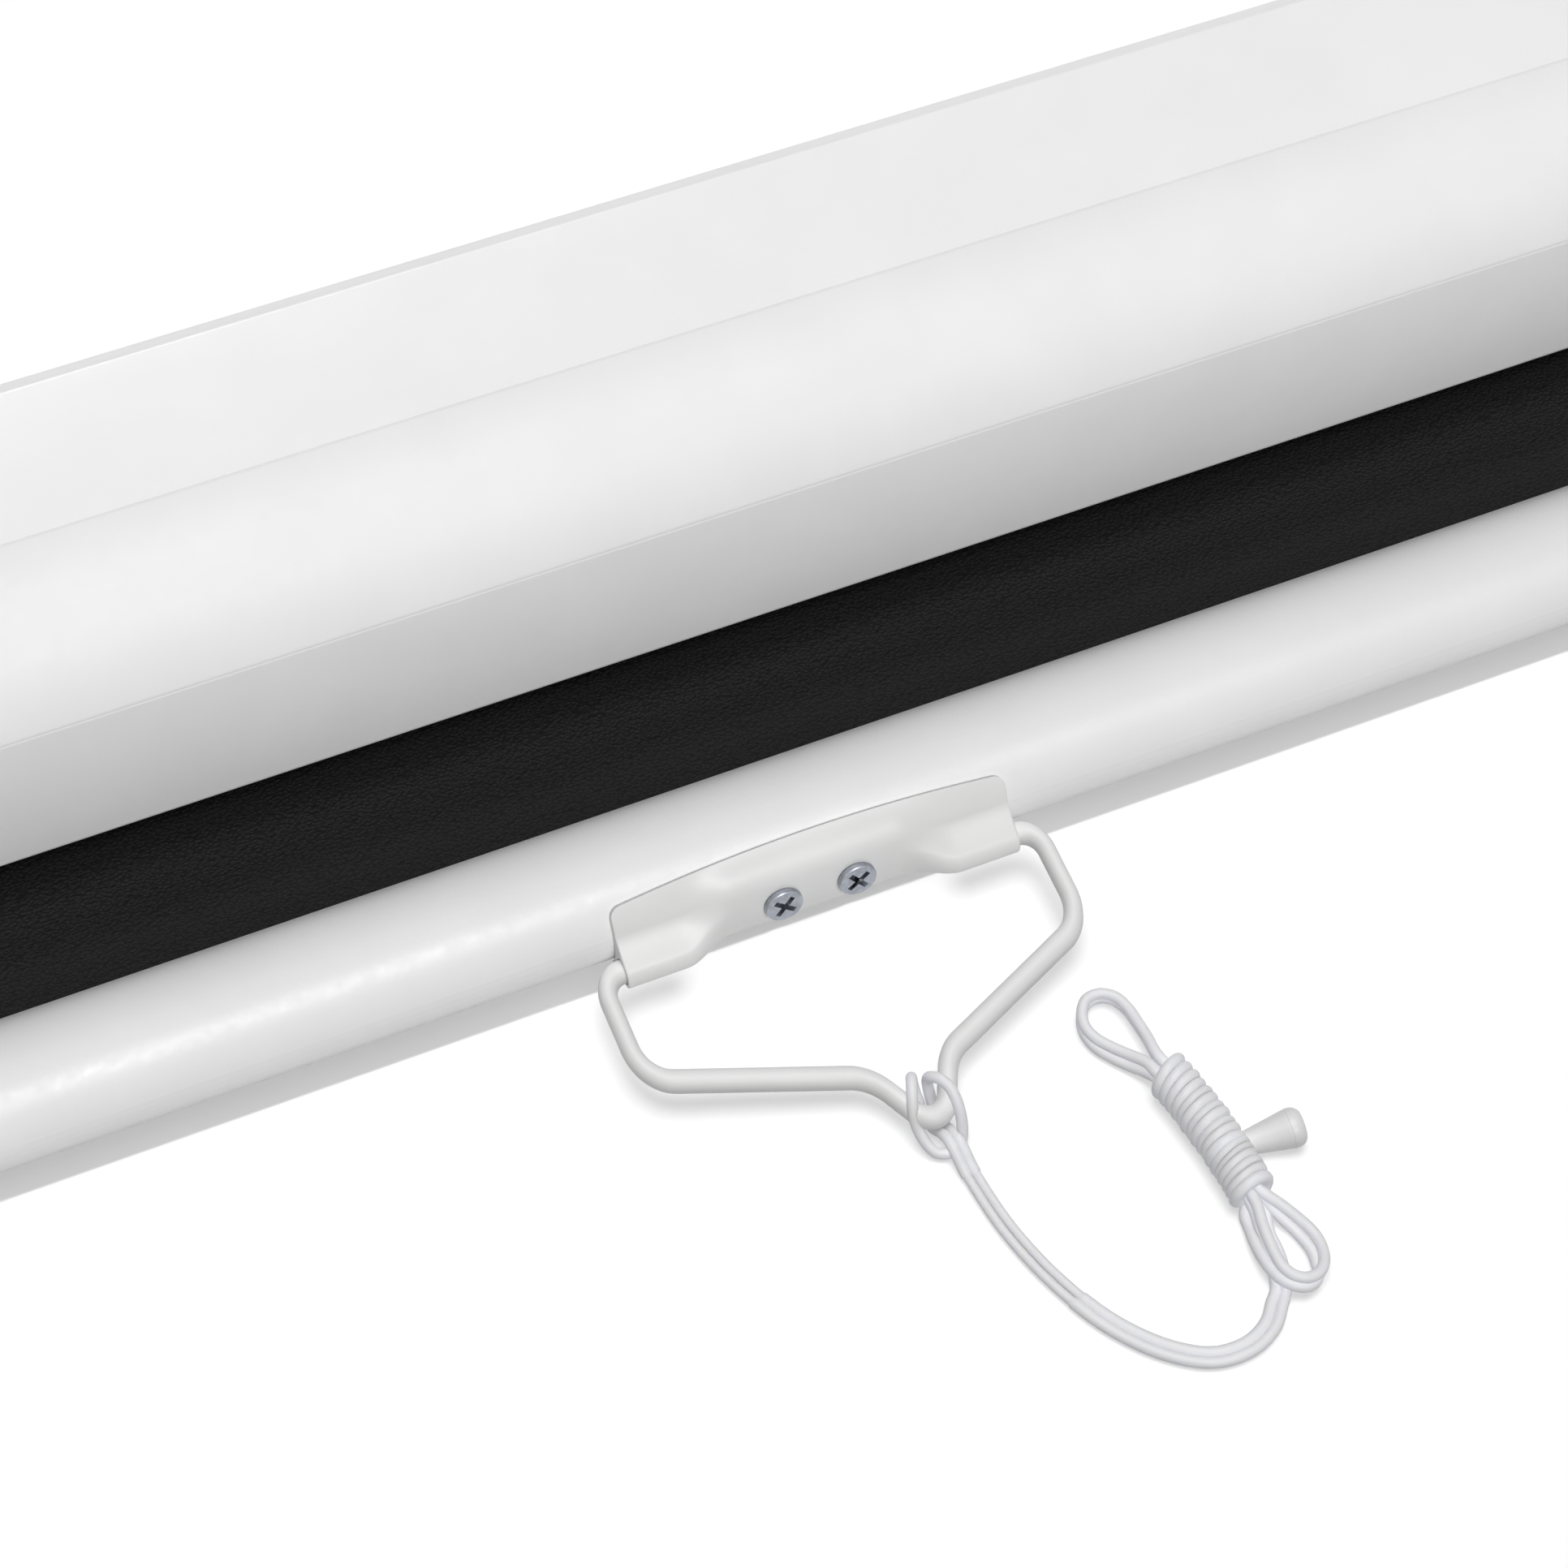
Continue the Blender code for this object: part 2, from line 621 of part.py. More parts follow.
def roller(parts, cutters):
    left, right = roller_end(-1), roller_end(1)
    roller_ring("roller_tube", ROLLER_R, round_bore(ROLLER_R - ROLLER_WALL), left, right,
                "zinc steel", parts)
    roller_ring("screen_roll", ROLL_R, round_bore(CORE_R, 48), -FABRIC_W / 2, FABRIC_W / 2,
                "white fabric", parts, 48)
    drive_end(parts, cutters)
    idle_end(parts, cutters)


# Bottom bar

def hem_y():
    """The hem rod's centre: it seats on the inner corners of the bar's slot."""
    inner = BAR_R - BAR_WALL
    seat = math.sqrt(inner ** 2 - (BAR_SLOT / 2) ** 2)
    return BAR_Y + seat - math.sqrt((HEM_R + FIT) ** 2 - (BAR_SLOT / 2) ** 2)


def bar_outline():
    """Round tube, slotted toward the case, with a rib above and below the hem rod."""
    inner = BAR_R - BAR_WALL
    slot = BAR_SLOT / 2
    rib_near, rib_far = HEM_R + FIT, HEM_R + FIT + RIB_T
    rib_end = BAR_Y + inner - RIB_REACH
    lip = math.asin(slot / BAR_R)
    points = arc(BAR_Y, BAR_Z, BAR_R, lip, 2 * math.pi - lip, 46)
    slot_in = math.asin(slot / inner)
    near, far = math.asin(rib_near / inner), math.asin(rib_far / inner)
    points += arc(BAR_Y, BAR_Z, inner, 2 * math.pi - slot_in, 2 * math.pi - near, 3)
    points += [(rib_end, BAR_Z - rib_near), (rib_end, BAR_Z - rib_far)]
    points += arc(BAR_Y, BAR_Z, inner, 2 * math.pi - far, far, 34)
    points += [(rib_end, BAR_Z + rib_far), (rib_end, BAR_Z + rib_near)]
    points += arc(BAR_Y, BAR_Z, inner, near, slot_in, 3)
    return points


def bar_cap(side, name, parts, cutters):
    """Round end cap with a plug that reaches into the free half of the tube."""
    edge = side * (BAR_L / 2 + FIT)
    radius = BAR_R - BAR_CAP_LIP
    profile = [(0.0, 0.0), (0.0, radius), (BAR_CAP_T * 0.4, radius), (BAR_CAP_T * 0.8, radius * 0.93),
               (BAR_CAP_T, radius * 0.80), (BAR_CAP_T, 0.0)]
    cap = turned(name, profile, 32)
    point_along(cap, (edge, BAR_Y, BAR_Z), (side, 0.0, 0.0))
    plug = prism(name + "_plug", circle(BAR_Y - BAR_PLUG_OFFSET, BAR_Z, BAR_PLUG_R, 24),
                 side * (BAR_L / 2 - BAR_PLUG_L), side * (BAR_L / 2 + BAR_CAP_T / 2))
    boolean(cap, [plug], "UNION", cutters)
    return finish(cap, name, "white plastic", parts)


def bar_point(angle, radius):
    """A (y, z) place at an angle up from straight out, round the bar's axis."""
    return Vector((BAR_Y - radius * math.cos(angle), BAR_Z + radius * math.sin(angle)))


def blend(t):
    t = max(0.0, min(1.0, t))
    return t * t * (3 - 2 * t)


def bezier(a, b, c, count):
    return [a * (1 - t) ** 2 + b * 2 * t * (1 - t) + c * t * t for t in (i / count for i in range(count + 1))]


OUTER_POINTS = 25


def clip_outer_middle():
    """Outer line at mid clip: a shallow saddle that thickens below its upper edge."""
    points = []
    for i in range(OUTER_POINTS):
        angle = CLIP_TOP_MID + (CLIP_LOW_MID - CLIP_TOP_MID) * i / (OUTER_POINTS - 1)
        thick = blend((CLIP_TOP_MID - angle) / (CLIP_TOP_MID - CLIP_FLAT_FROM))
        radius = BAR_R + FIT + CLIP_EDGE_T + (CLIP_MID_T - CLIP_EDGE_T) * thick
        points.append(bar_point(angle, radius))
    return points


def clip_outer_end():
    """Outer line at the clip's ends: it hugs the bar, then sweeps out round the socket."""
    edge = BAR_R + FIT + CLIP_EDGE_T
    hug = [bar_point(CLIP_TOP_END + (CLIP_HUG_TO - CLIP_TOP_END) * i / 5, edge + 0.0002 * i / 5)
           for i in range(6)]
    socket = ROD_R + FIT + SOCKET_WALL
    centre = Vector((PIVOT_Y, PIVOT_Z))
    ring = [centre + Vector((-socket * math.cos(a), socket * math.sin(a)))
            for a in (CLIP_RING_FROM - (CLIP_RING_FROM + math.pi / 2) * i / 10 for i in range(11))]
    down = Vector((-math.sin(CLIP_HUG_TO), -math.cos(CLIP_HUG_TO)))
    leave = Vector((math.sin(CLIP_RING_FROM), math.cos(CLIP_RING_FROM)))
    gap = ring[0] - hug[-1]
    cross = down[0] * leave[1] - down[1] * leave[0]
    reach = (gap[0] * leave[1] - gap[1] * leave[0]) / cross
    corner = hug[-1] + down * reach
    sweep = bezier(hug[-1], corner, ring[0], 6)[1:-1]
    foot = bar_point(CLIP_LOW_END, edge)
    under = [ring[-1] + (foot - ring[-1]) * i / 3 for i in (1, 2, 3)]
    return hug + sweep + ring + under


def clip_section(x):
    """Closed outline of the clip at one place along the bar."""
    sweep = blend((abs(x) - SOCKET_FROM) / (SOCKET_TO - SOCKET_FROM))
    rise = (x / CLIP_HALF) ** 2
    middle, end = clip_outer_middle(), clip_outer_end()
    outer = [m + (e - m) * sweep for m, e in zip(middle, end)]
    into = max(0.0, abs(x) - (CLIP_HALF - CLIP_CORNER_R))
    corner = (CLIP_CORNER_R - math.sqrt(max(0.0, CLIP_CORNER_R ** 2 - into ** 2))) / BAR_R
    top = CLIP_TOP_MID + (CLIP_TOP_END - CLIP_TOP_MID) * rise - corner
    low = CLIP_LOW_MID + (CLIP_LOW_END - CLIP_LOW_MID) * sweep
    edge = bar_point(top, BAR_R + FIT + CLIP_EDGE_T)
    shift = edge - outer[0]
    outer = [p + shift * (1 - i / 6) if i < 6 else p for i, p in enumerate(outer)]
    inner = [bar_point(low + (top - low) * i / 11, BAR_R + FIT) for i in range(12)]
    return [(x, p[0], p[1]) for p in outer + inner]


def handle_clip(parts, cutters):
    """Loft the clip through its sections, then bore its sockets and screw holes."""
    places = [0.0, 0.008, 0.013, 0.016]
    places += [SOCKET_FROM + (SOCKET_TO - SOCKET_FROM) * i / 6 for i in range(1, 7)]
    places += [0.033] + [CLIP_HALF - CLIP_CORNER_R * k for k in (1.0, 0.6, 0.3, 0.1, 0.0)]
    stations = [-x for x in reversed(places[1:])] + places
    bm = bmesh.new()
    rings = [[bm.verts.new(p) for p in clip_section(x)] for x in stations]
    for ring, following in zip(rings, rings[1:]):
        for i in range(len(ring)):
            j = (i + 1) % len(ring)
            bm.faces.new((ring[i], ring[j], following[j], following[i]))
    bm.faces.new(rings[0])
    bm.faces.new(rings[-1])
    bmesh.ops.recalc_face_normals(bm, faces=bm.faces)
    mesh = bpy.data.meshes.new("handle_clip")
    bm.to_mesh(mesh)
    bm.free()
    clip = bpy.data.objects.new("handle_clip", mesh)
    bpy.context.scene.collection.objects.link(clip)
    cuts = []
    for side in (-1, 1):
        start = (side * (CLIP_HALF + 0.002), PIVOT_Y, PIVOT_Z)
        stop = (side * (CLIP_HALF - SOCKET_DEPTH), PIVOT_Y, PIVOT_Z)
        cuts.append(rod("socket_%d" % side, start, stop, ROD_R + FIT, 20))
        cuts.append(clip_screw_hole(side))
    boolean(clip, cuts, "DIFFERENCE", cutters)
    return smooth(finish(clip, "handle_clip", "white plastic", parts))


def clip_screw_way():
    """Unit direction in which the clip's screws drive: in, and slightly down."""
    return Vector((0.0, math.cos(CLIP_SCREW_TILT), -math.sin(CLIP_SCREW_TILT)))


def clip_screw_seat(side):
    """Where a screw's head rests, a little below the line through the bar's axis."""
    y, z = bar_point(CLIP_SCREW_TILT, BAR_R + FIT + CLIP_MID_T + FIT)
    below = Vector((0.0, -math.sin(CLIP_SCREW_TILT), -math.cos(CLIP_SCREW_TILT))) * CLIP_SCREW_DROP
    return Vector((side * CLIP_SCREW_X, y, z)) + below


def clip_screw_hole(side):
    seat, way = clip_screw_seat(side), clip_screw_way()
    start = seat - way * 0.004
    return rod("clip_hole_%d" % side, start, seat + way * (CLIP_SCREW_L + 0.002), SCREW_R + FIT, 20)


def bottom_bar(parts, cutters):
    tube = prism("bottom_tube", bar_outline(), -BAR_L / 2, BAR_L / 2)
    boolean(tube, [clip_screw_hole(side) for side in (-1, 1)], "DIFFERENCE", cutters)
    smooth(finish(tube, "bottom_tube", "white paint", parts))
    hem = prism("hem_rod", circle(hem_y(), BAR_Z, HEM_R, 20), -FABRIC_W / 2, FABRIC_W / 2)
    smooth(finish(hem, "hem_rod", "black fabric", parts))
    bar_cap(-1, "bar_cap_left", parts, cutters)
    bar_cap(1, "bar_cap_right", parts, cutters)
    near, far = hem_y() + HEM_R + FIT, ROLLER_Y
    half = FABRIC_T / 2
    sheet = [(near, BAR_Z - half), (far, BAR_Z - half), (far, BAR_Z + half), (near, BAR_Z + half)]
    finish(prism("screen_sheet", sheet, -FABRIC_W / 2, FABRIC_W / 2), "screen_sheet", "black fabric", parts)
    handle_clip(parts, cutters)
    for number, side in enumerate((-1, 1), 1):
        screw("clip_screw_%d" % number, clip_screw_seat(side), clip_screw_way(), CLIP_SCREW_L, parts, 24,
              CLIP_HEAD_H, CLIP_HEAD_FACE_R)


# Pull handle and cord

def on_handle(x, s, lift=0.0):
    """A place in the handle's plane: x along the case, s out from its pivots."""
    return (x, PIVOT_Y - s * math.cos(HANDLE_DROP), PIVOT_Z - s * math.sin(HANDLE_DROP) + lift)


def pull_handle(parts):
    corners = [(-HANDLE_END, 0.0), (-HANDLE_HALF, 0.0), (-HANDLE_HALF, 0.0216), (-0.0055, 0.0354),
               (TIP_X, TIP_S), (0.0095, 0.0360), (HANDLE_HALF, 0.0208), (HANDLE_HALF, 0.0),
               (HANDLE_END, 0.0)]
    bends = [0.0, 0.0040, 0.0070, 0.0100, 0.0039, 0.0080, 0.0070, 0.0040, 0.0]
    line = rounded(corners, bends, 6, closed=False)
    wide = [(x / ROD_SQUEEZE, PIVOT_Y - s, PIVOT_Z) for x, s in line]
    obj = tube_through("pull_handle", wide, ROD_R, 3)
    handle = curve_to_mesh(obj)
    pivot = Matrix.Translation((0.0, PIVOT_Y, PIVOT_Z))
    drop = Matrix.Rotation(HANDLE_DROP, 4, "X")
    squeeze = Matrix.Scale(ROD_SQUEEZE, 4, (1.0, 0.0, 0.0))
    handle.data.transform(drop @ squeeze @ pivot.inverted())
    handle.matrix_world = pivot
    return smooth(finish(handle, "pull_handle", "white coating", parts), 50)


# The doubled cord's middle line on the floor, from the handle to the hank
CORD_ROUTE = ((0.0046, -0.1545), (0.0060, -0.1650), (0.0094, -0.1775), (0.0145, -0.1885), (0.0212, -0.1966),
              (0.0280, -0.2009), (0.0345, -0.2011), (0.0398, -0.1987), (0.0435, -0.1944))
# One strand from the floor to the inside of the handle's tip, then round the hitch to the other strand
HITCH_IN = ((0.0024, -0.1505, 0.0022), (0.0018, -0.1470, 0.0040), (0.0016, -0.1437, 0.0025),
            (0.0016, -0.1405, 0.0013), (0.0016, -0.1370, 0.0016))
HITCH_LOOP = ((0.0013, -0.1350, 0.0050), (0.0010, -0.1355, 0.0086), (-0.0004, -0.1385, 0.0095),
              (-0.0016, -0.1412, 0.0084), (-0.0018, -0.1434, 0.0058), (-0.0008, -0.1454, 0.0028),
              (0.0012, -0.1470, 0.0013), (0.0038, -0.1474, 0.0012), (0.0062, -0.1465, 0.0018),
              (0.0074, -0.1446, 0.0048), (0.0074, -0.1414, 0.0084), (0.0068, -0.1388, 0.0096),
              (0.0052, -0.1364, 0.0094), (0.0041, -0.1350, 0.0060))
HITCH_OUT = ((0.0040, -0.1370, 0.0016), (0.0041, -0.1405, 0.0013), (0.0041, -0.1437, 0.0026),
             (0.0042, -0.1470, 0.0041), (0.0050, -0.1505, 0.0022))
# The hank: the winding's axis, then each loop's middle line and half width
HANK_START = (0.0444, -0.1488)
HANK_END = (0.0477, -0.1768)
LOOP_UPPER = ((0.0432, -0.1510, 0.0020), (0.0422, -0.1440, 0.0026), (0.0406, -0.1395, 0.0042),
              (0.0399, -0.1340, 0.0050), (0.0396, -0.1305, 0.0046), (0.0394, -0.1282, 0.0030))
LOOP_LOWER = ((0.0468, -0.1750, 0.0020), (0.0484, -0.1818, 0.0040), (0.0489, -0.1860, 0.0055),
              (0.0488, -0.1910, 0.0057), (0.0487, -0.1938, 0.0046), (0.0488, -0.1956, 0.0028))
KNOB_START = (0.0516, -0.1662)
KNOB_END = (0.0620, -0.1675)


def strand(side):
    """One of the two strands on the floor, beside the other."""
    middle = [Vector((x, y, CORD_R + CORD_LIFT)) for x, y in CORD_ROUTE]
    points = []
    for i, place in enumerate(middle):
        ahead = middle[min(i + 1, len(middle) - 1)] - middle[max(i - 1, 0)]
        points.append(place + Vector((-ahead[1], ahead[0], 0.0)).normalized() * side * (CORD_R + FIT / 2))
    return points


def pull_cord(parts):
    """The doubled cord, hitched round the handle's tip: a single tube from hank to hank."""
    route = strand(-1)[::-1] + [Vector(p) for p in HITCH_IN + HITCH_LOOP + HITCH_OUT] + strand(1)
    obj = tube_through("pull_cord", [tuple(p) for p in smooth_curve(route, 2)], CORD_R, 2)
    return smooth(finish(curve_to_mesh(obj), "pull_cord", "cord nylon", parts), 60)


def loop_slab(name, shape, thickness):
    """A flat solid round one end of the hank, from its middle line and half widths."""
    left, right = [], []
    for i, (x, y, half) in enumerate(shape):
        before, after = shape[max(i - 1, 0)], shape[min(i + 1, len(shape) - 1)]
        across = Vector((before[1] - after[1], after[0] - before[0])).normalized() * half
        left.append((x - across[0], y - across[1]))
        right.append((x + across[0], y + across[1]))
    outline = rounded(left + right[::-1], 0.002, 3)
    return flat_piece(name, outline, thickness, (0.0, 0.0, 0.0), (0.0, 0.0, CORD_LIFT + thickness / 2))


def cord_hank(parts, cutters):
    """The outer shape of the wound cord: a round winding with a flat loop at each end."""
    height = HANK_R + CORD_LIFT
    hank = rod("cord_hank", (*HANK_START, height), (*HANK_END, height), HANK_R)
    loops = [loop_slab("hank_upper_loop", LOOP_UPPER, LOOP_UPPER_T),
             loop_slab("hank_lower_loop", LOOP_LOWER, LOOP_LOWER_T)]
    boolean(hank, loops, "UNION", cutters)
    return finish(hank, "cord_hank", "cord nylon", parts)


def cord_knob(parts):
    """Tapered knob with a rounded cap, lying on its side."""
    cap = KNOB_L - KNOB_SEAM
    profile = [(0.0, 0.0), (0.0, KNOB_NECK_R - KNOB_STEP), (0.0004, KNOB_NECK_R),
               (KNOB_SEAM, KNOB_R - KNOB_STEP), (KNOB_SEAM, KNOB_R), (KNOB_SEAM + cap * 0.30, KNOB_R)]
    round_r = cap * 0.70
    profile += [(KNOB_L - round_r * (1 - math.sin(a)), KNOB_R - round_r * (1 - math.cos(a)))
                for a in (math.radians(22.5 * i) for i in range(1, 5))]
    profile.append((KNOB_L, 0.0))
    obj = turned("cord_knob", profile, 28)
    start = Vector((*KNOB_START, KNOB_NECK_R + CORD_LIFT))
    end = Vector((*KNOB_END, KNOB_NECK_R + CORD_LIFT + (KNOB_R - KNOB_NECK_R) * KNOB_L / KNOB_SEAM))
    point_along(obj, start, end - start)
    return smooth(finish(obj, "cord_knob", "white plastic", parts), 40)


def main():
    remove_startup_objects()
    parts = collection(OBJECT)
    cutters = collection(OBJECT + "_helpers")
    case_shell(parts)
    shaft_bore = shaft_outline(FIT)
    pin_bore = round_bore(IDLE_PIN_R + FIT, 24)
    for side, word, bore in ((-1, "left", shaft_bore), (1, "right", pin_bore)):
        end_cap(side, "end_cap_" + word, bore, parts, cutters)
        wall_bracket(side, "wall_bracket_" + word, parts, cutters)
        for number, y in enumerate((-BRACKET_SCREW_Y, BRACKET_SCREW_Y), 1):
            seat = (side * (CASE_L / 2 + CAP_T + BRACKET_T + 2 * FIT), y, BRACKET_SCREW_Z)
            screw("bracket_screw_%s_%d" % (word, number), seat, (-side, 0.0, 0.0), BRACKET_SCREW_L, parts)
    roller(parts, cutters)
    bottom_bar(parts, cutters)
    pull_handle(parts)
    pull_cord(parts)
    cord_hank(parts, cutters)
    cord_knob(parts)


main()
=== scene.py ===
import json
import math

import bmesh
import bpy
from mathutils import Matrix, Vector


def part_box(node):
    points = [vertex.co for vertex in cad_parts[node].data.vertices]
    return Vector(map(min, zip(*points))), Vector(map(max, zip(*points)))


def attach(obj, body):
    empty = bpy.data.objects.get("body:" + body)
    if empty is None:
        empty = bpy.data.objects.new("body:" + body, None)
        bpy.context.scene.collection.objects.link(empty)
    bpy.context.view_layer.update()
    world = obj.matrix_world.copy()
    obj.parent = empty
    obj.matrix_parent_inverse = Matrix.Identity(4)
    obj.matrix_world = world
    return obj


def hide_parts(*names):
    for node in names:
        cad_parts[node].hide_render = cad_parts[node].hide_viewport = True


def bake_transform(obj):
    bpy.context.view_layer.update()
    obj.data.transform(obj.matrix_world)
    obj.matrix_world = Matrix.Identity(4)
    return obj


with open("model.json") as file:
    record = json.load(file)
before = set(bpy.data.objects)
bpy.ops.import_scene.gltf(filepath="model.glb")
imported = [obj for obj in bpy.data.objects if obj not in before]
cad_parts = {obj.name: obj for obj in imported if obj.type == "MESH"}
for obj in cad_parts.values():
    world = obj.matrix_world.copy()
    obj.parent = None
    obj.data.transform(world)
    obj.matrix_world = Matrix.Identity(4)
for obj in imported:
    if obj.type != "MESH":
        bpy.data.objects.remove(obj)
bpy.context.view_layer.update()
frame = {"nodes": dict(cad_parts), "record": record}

# Looks of the projector screen: its camera, its light, its finer pieces and all materials.
# Units are metres in the frame's axes. The cord and the knob are worked out in millimetres, and
# MM turns them into metres.

scene = bpy.context.scene
nodes = frame["nodes"]
MM = 0.001


def mm(*values):
    return Vector(values) * MM


# Camera, fitted to the photo's parallel case and bar edges

AIM = mm(4.6, -67.1, 7.83)
AWAY = 0.6894
RIGHT = Vector((0.92260543, -0.38574502, 0.0))
UP = Vector((0.31567459, 0.75501451, 0.57471963))
BACK = Vector((-0.22169524, -0.53023945, 0.81835038))

camera_data = bpy.data.cameras.new("camera")
camera = bpy.data.objects.new("camera", camera_data)
scene.collection.objects.link(camera)
camera_data.lens = 85.0
camera_data.sensor_width = 36.0
camera_data.clip_start = 0.01
camera_data.clip_end = 50.0
turned = Matrix((RIGHT, UP, BACK)).transposed().to_4x4()
camera.matrix_world = Matrix.Translation(AIM + BACK * AWAY) @ turned
scene.camera = camera


# Mesh helpers

def link(mesh, name):
    obj = bpy.data.objects.new(name, mesh)
    scene.collection.objects.link(obj)
    return obj


def mesh_object(name, verts, faces, smooth=True):
    mesh = bpy.data.meshes.new(name)
    mesh.from_pydata([tuple(v) for v in verts], [], faces)
    mesh.update()
    if smooth:
        mesh.shade_smooth()
    return link(mesh, name)


def tidy(obj, angle=None):
    """Faces outward, and edges that turn more than angle degrees drawn sharp."""
    bm = bmesh.new()
    bm.from_mesh(obj.data)
    bmesh.ops.recalc_face_normals(bm, faces=bm.faces)
    bm.to_mesh(obj.data)
    bm.free()
    obj.data.shade_smooth()
    if angle:
        obj.data.set_sharp_from_angle(angle=math.radians(angle))
    return obj


def curve_points(points, step):
    """Evenly spaced points on a smooth centripetal curve through the given ones."""
    ends = [points[0] * 2 - points[1]] + list(points) + [points[-1] * 2 - points[-2]]
    dense = []
    for i in range(len(points) - 1):
        a, b, c, d = ends[i:i + 4]
        t0, t1 = 0.0, max((b - a).length, 1e-9) ** 0.5
        t2 = t1 + max((c - b).length, 1e-9) ** 0.5
        t3 = t2 + max((d - c).length, 1e-9) ** 0.5
        parts = max(2, math.ceil((c - b).length / (step * 0.5)))
        for k in range(parts):
            t = t1 + (t2 - t1) * k / parts
            p = a.lerp(b, (t - t0) / (t1 - t0))
            q = b.lerp(c, (t - t1) / (t2 - t1))
            r = c.lerp(d, (t - t2) / (t3 - t2))
            s = p.lerp(q, (t - t0) / (t2 - t0))
            u = q.lerp(r, (t - t1) / (t3 - t1))
            dense.append(s.lerp(u, (t - t1) / (t2 - t1)))
    dense.append(Vector(points[-1]))
    along = [0.0]
    for p, q in zip(dense, dense[1:]):
        along.append(along[-1] + (q - p).length)
    count = max(2, round(along[-1] / step))
    result, j = [], 0
    for i in range(count + 1):
        want = along[-1] * i / count
        while j < len(along) - 2 and along[j + 1] < want:
            j += 1
        span = along[j + 1] - along[j]
        result.append(dense[j].lerp(dense[j + 1], (want - along[j]) / span if span else 0.0))
    return result


def ring_faces(rings, sides):
    """Faces between rings of points, and one over each end."""
    faces = []
    for i in range(rings - 1):
        for k in range(sides):
            m = (k + 1) % sides
            faces.append((i * sides + k, i * sides + m, (i + 1) * sides + m, (i + 1) * sides + k))
    faces.append(tuple(range(sides)))
    faces.append(tuple(range((rings - 1) * sides, rings * sides)))
    return faces


END_ROWS, END_REACH = (0.92, 0.70, 0.38), 0.55


def tube(name, points, radii, sides=16):
    """Round tube along points, its ends rounded, with a UV map.

    U is the way along in metres, and V goes round from 0 to 1.
    """
    count = len(points)
    if not isinstance(radii, (list, tuple)):
        radii = [radii] * count
    tangents = []
    for i in range(count):
        tangents.append((points[min(i + 1, count - 1)] - points[max(i - 1, 0)]).normalized())
    across = tangents[0].orthogonal().normalized()
    along = 0.0
    stations = []
    for i, (point, radius) in enumerate(zip(points, radii)):
        if i:
            along += (points[i] - points[i - 1]).length
            across = (across - tangents[i] * across.dot(tangents[i])).normalized()
        stations.append((point, tangents[i], across.copy(), radius, along))

    def rounded_end(station, way):
        point, tangent, side, radius, at = station
        return [(point + tangent * radius * k * END_REACH * way, tangent, side,
                 radius * math.sqrt(1 - k * k), at) for k in END_ROWS]

    stations = rounded_end(stations[0], -1) + stations + rounded_end(stations[-1], 1)[::-1]
    verts, reach = [], []
    for point, tangent, side, radius, at in stations:
        up = tangent.cross(side)
        for k in range(sides):
            turn = 2 * math.pi * k / sides
            verts.append(point + (side * math.cos(turn) + up * math.sin(turn)) * radius)
        reach.append(at)
    corners = []
    for near, far in zip(reach, reach[1:]):
        for k in range(sides):
            low, high = k / sides, (k + 1) / sides
            corners += [(near, low), (near, high), (far, high), (far, low)]
    corners += [(reach[0], 0.5)] * sides + [(reach[-1], 0.5)] * sides
    obj = mesh_object(name, verts, ring_faces(len(reach), sides))
    layer = obj.data.uv_layers.new(name="along")
    for loop, uv in zip(layer.data, corners):
        loop.uv = uv
    return tidy(obj)


def revolve(name, profile, origin, direction, steps):
    """Surface of revolution of (along, radius) points about direction."""
    direction = Vector(direction).normalized()
    side = direction.orthogonal().normalized()
    up = direction.cross(side)
    verts = []
    for along, radius in profile:
        for k in range(steps):
            turn = 2 * math.pi * k / steps
            out = side * math.cos(turn) + up * math.sin(turn)
            verts.append(Vector(origin) + direction * along + out * radius)
    return tidy(mesh_object(name, verts, ring_faces(len(profile), steps)), 40)


def cylinder(name, start, way, length, radius):
    return revolve(name, [(0.0, radius), (length, radius)], start, way, 48)


def cut(obj, cutters):
    """Take throwaway cutters out of obj."""
    for cutter in cutters:
        step = obj.modifiers.new("cut", "BOOLEAN")
        step.operation = "DIFFERENCE"
        step.solver = "EXACT"
        step.object = cutter
    bpy.context.view_layer.update()
    graph = bpy.context.evaluated_depsgraph_get()
    mesh = bpy.data.meshes.new_from_object(obj.evaluated_get(graph))
    obj.modifiers.clear()
    old = obj.data
    obj.data = mesh
    bpy.data.meshes.remove(old)
    for cutter in cutters:
        data = cutter.data
        bpy.data.objects.remove(cutter)
        bpy.data.meshes.remove(data)
    return obj


# Materials

def new_material(name, colour, roughness, metallic=0.0):
    made = bpy.data.materials.new(name)
    made.use_nodes = True
    shader = made.node_tree.nodes["Principled BSDF"]
    shader.inputs["Base Color"].default_value = (*colour, 1.0)
    shader.inputs["Roughness"].default_value = roughness
    shader.inputs["Metallic"].default_value = metallic
    return made, shader


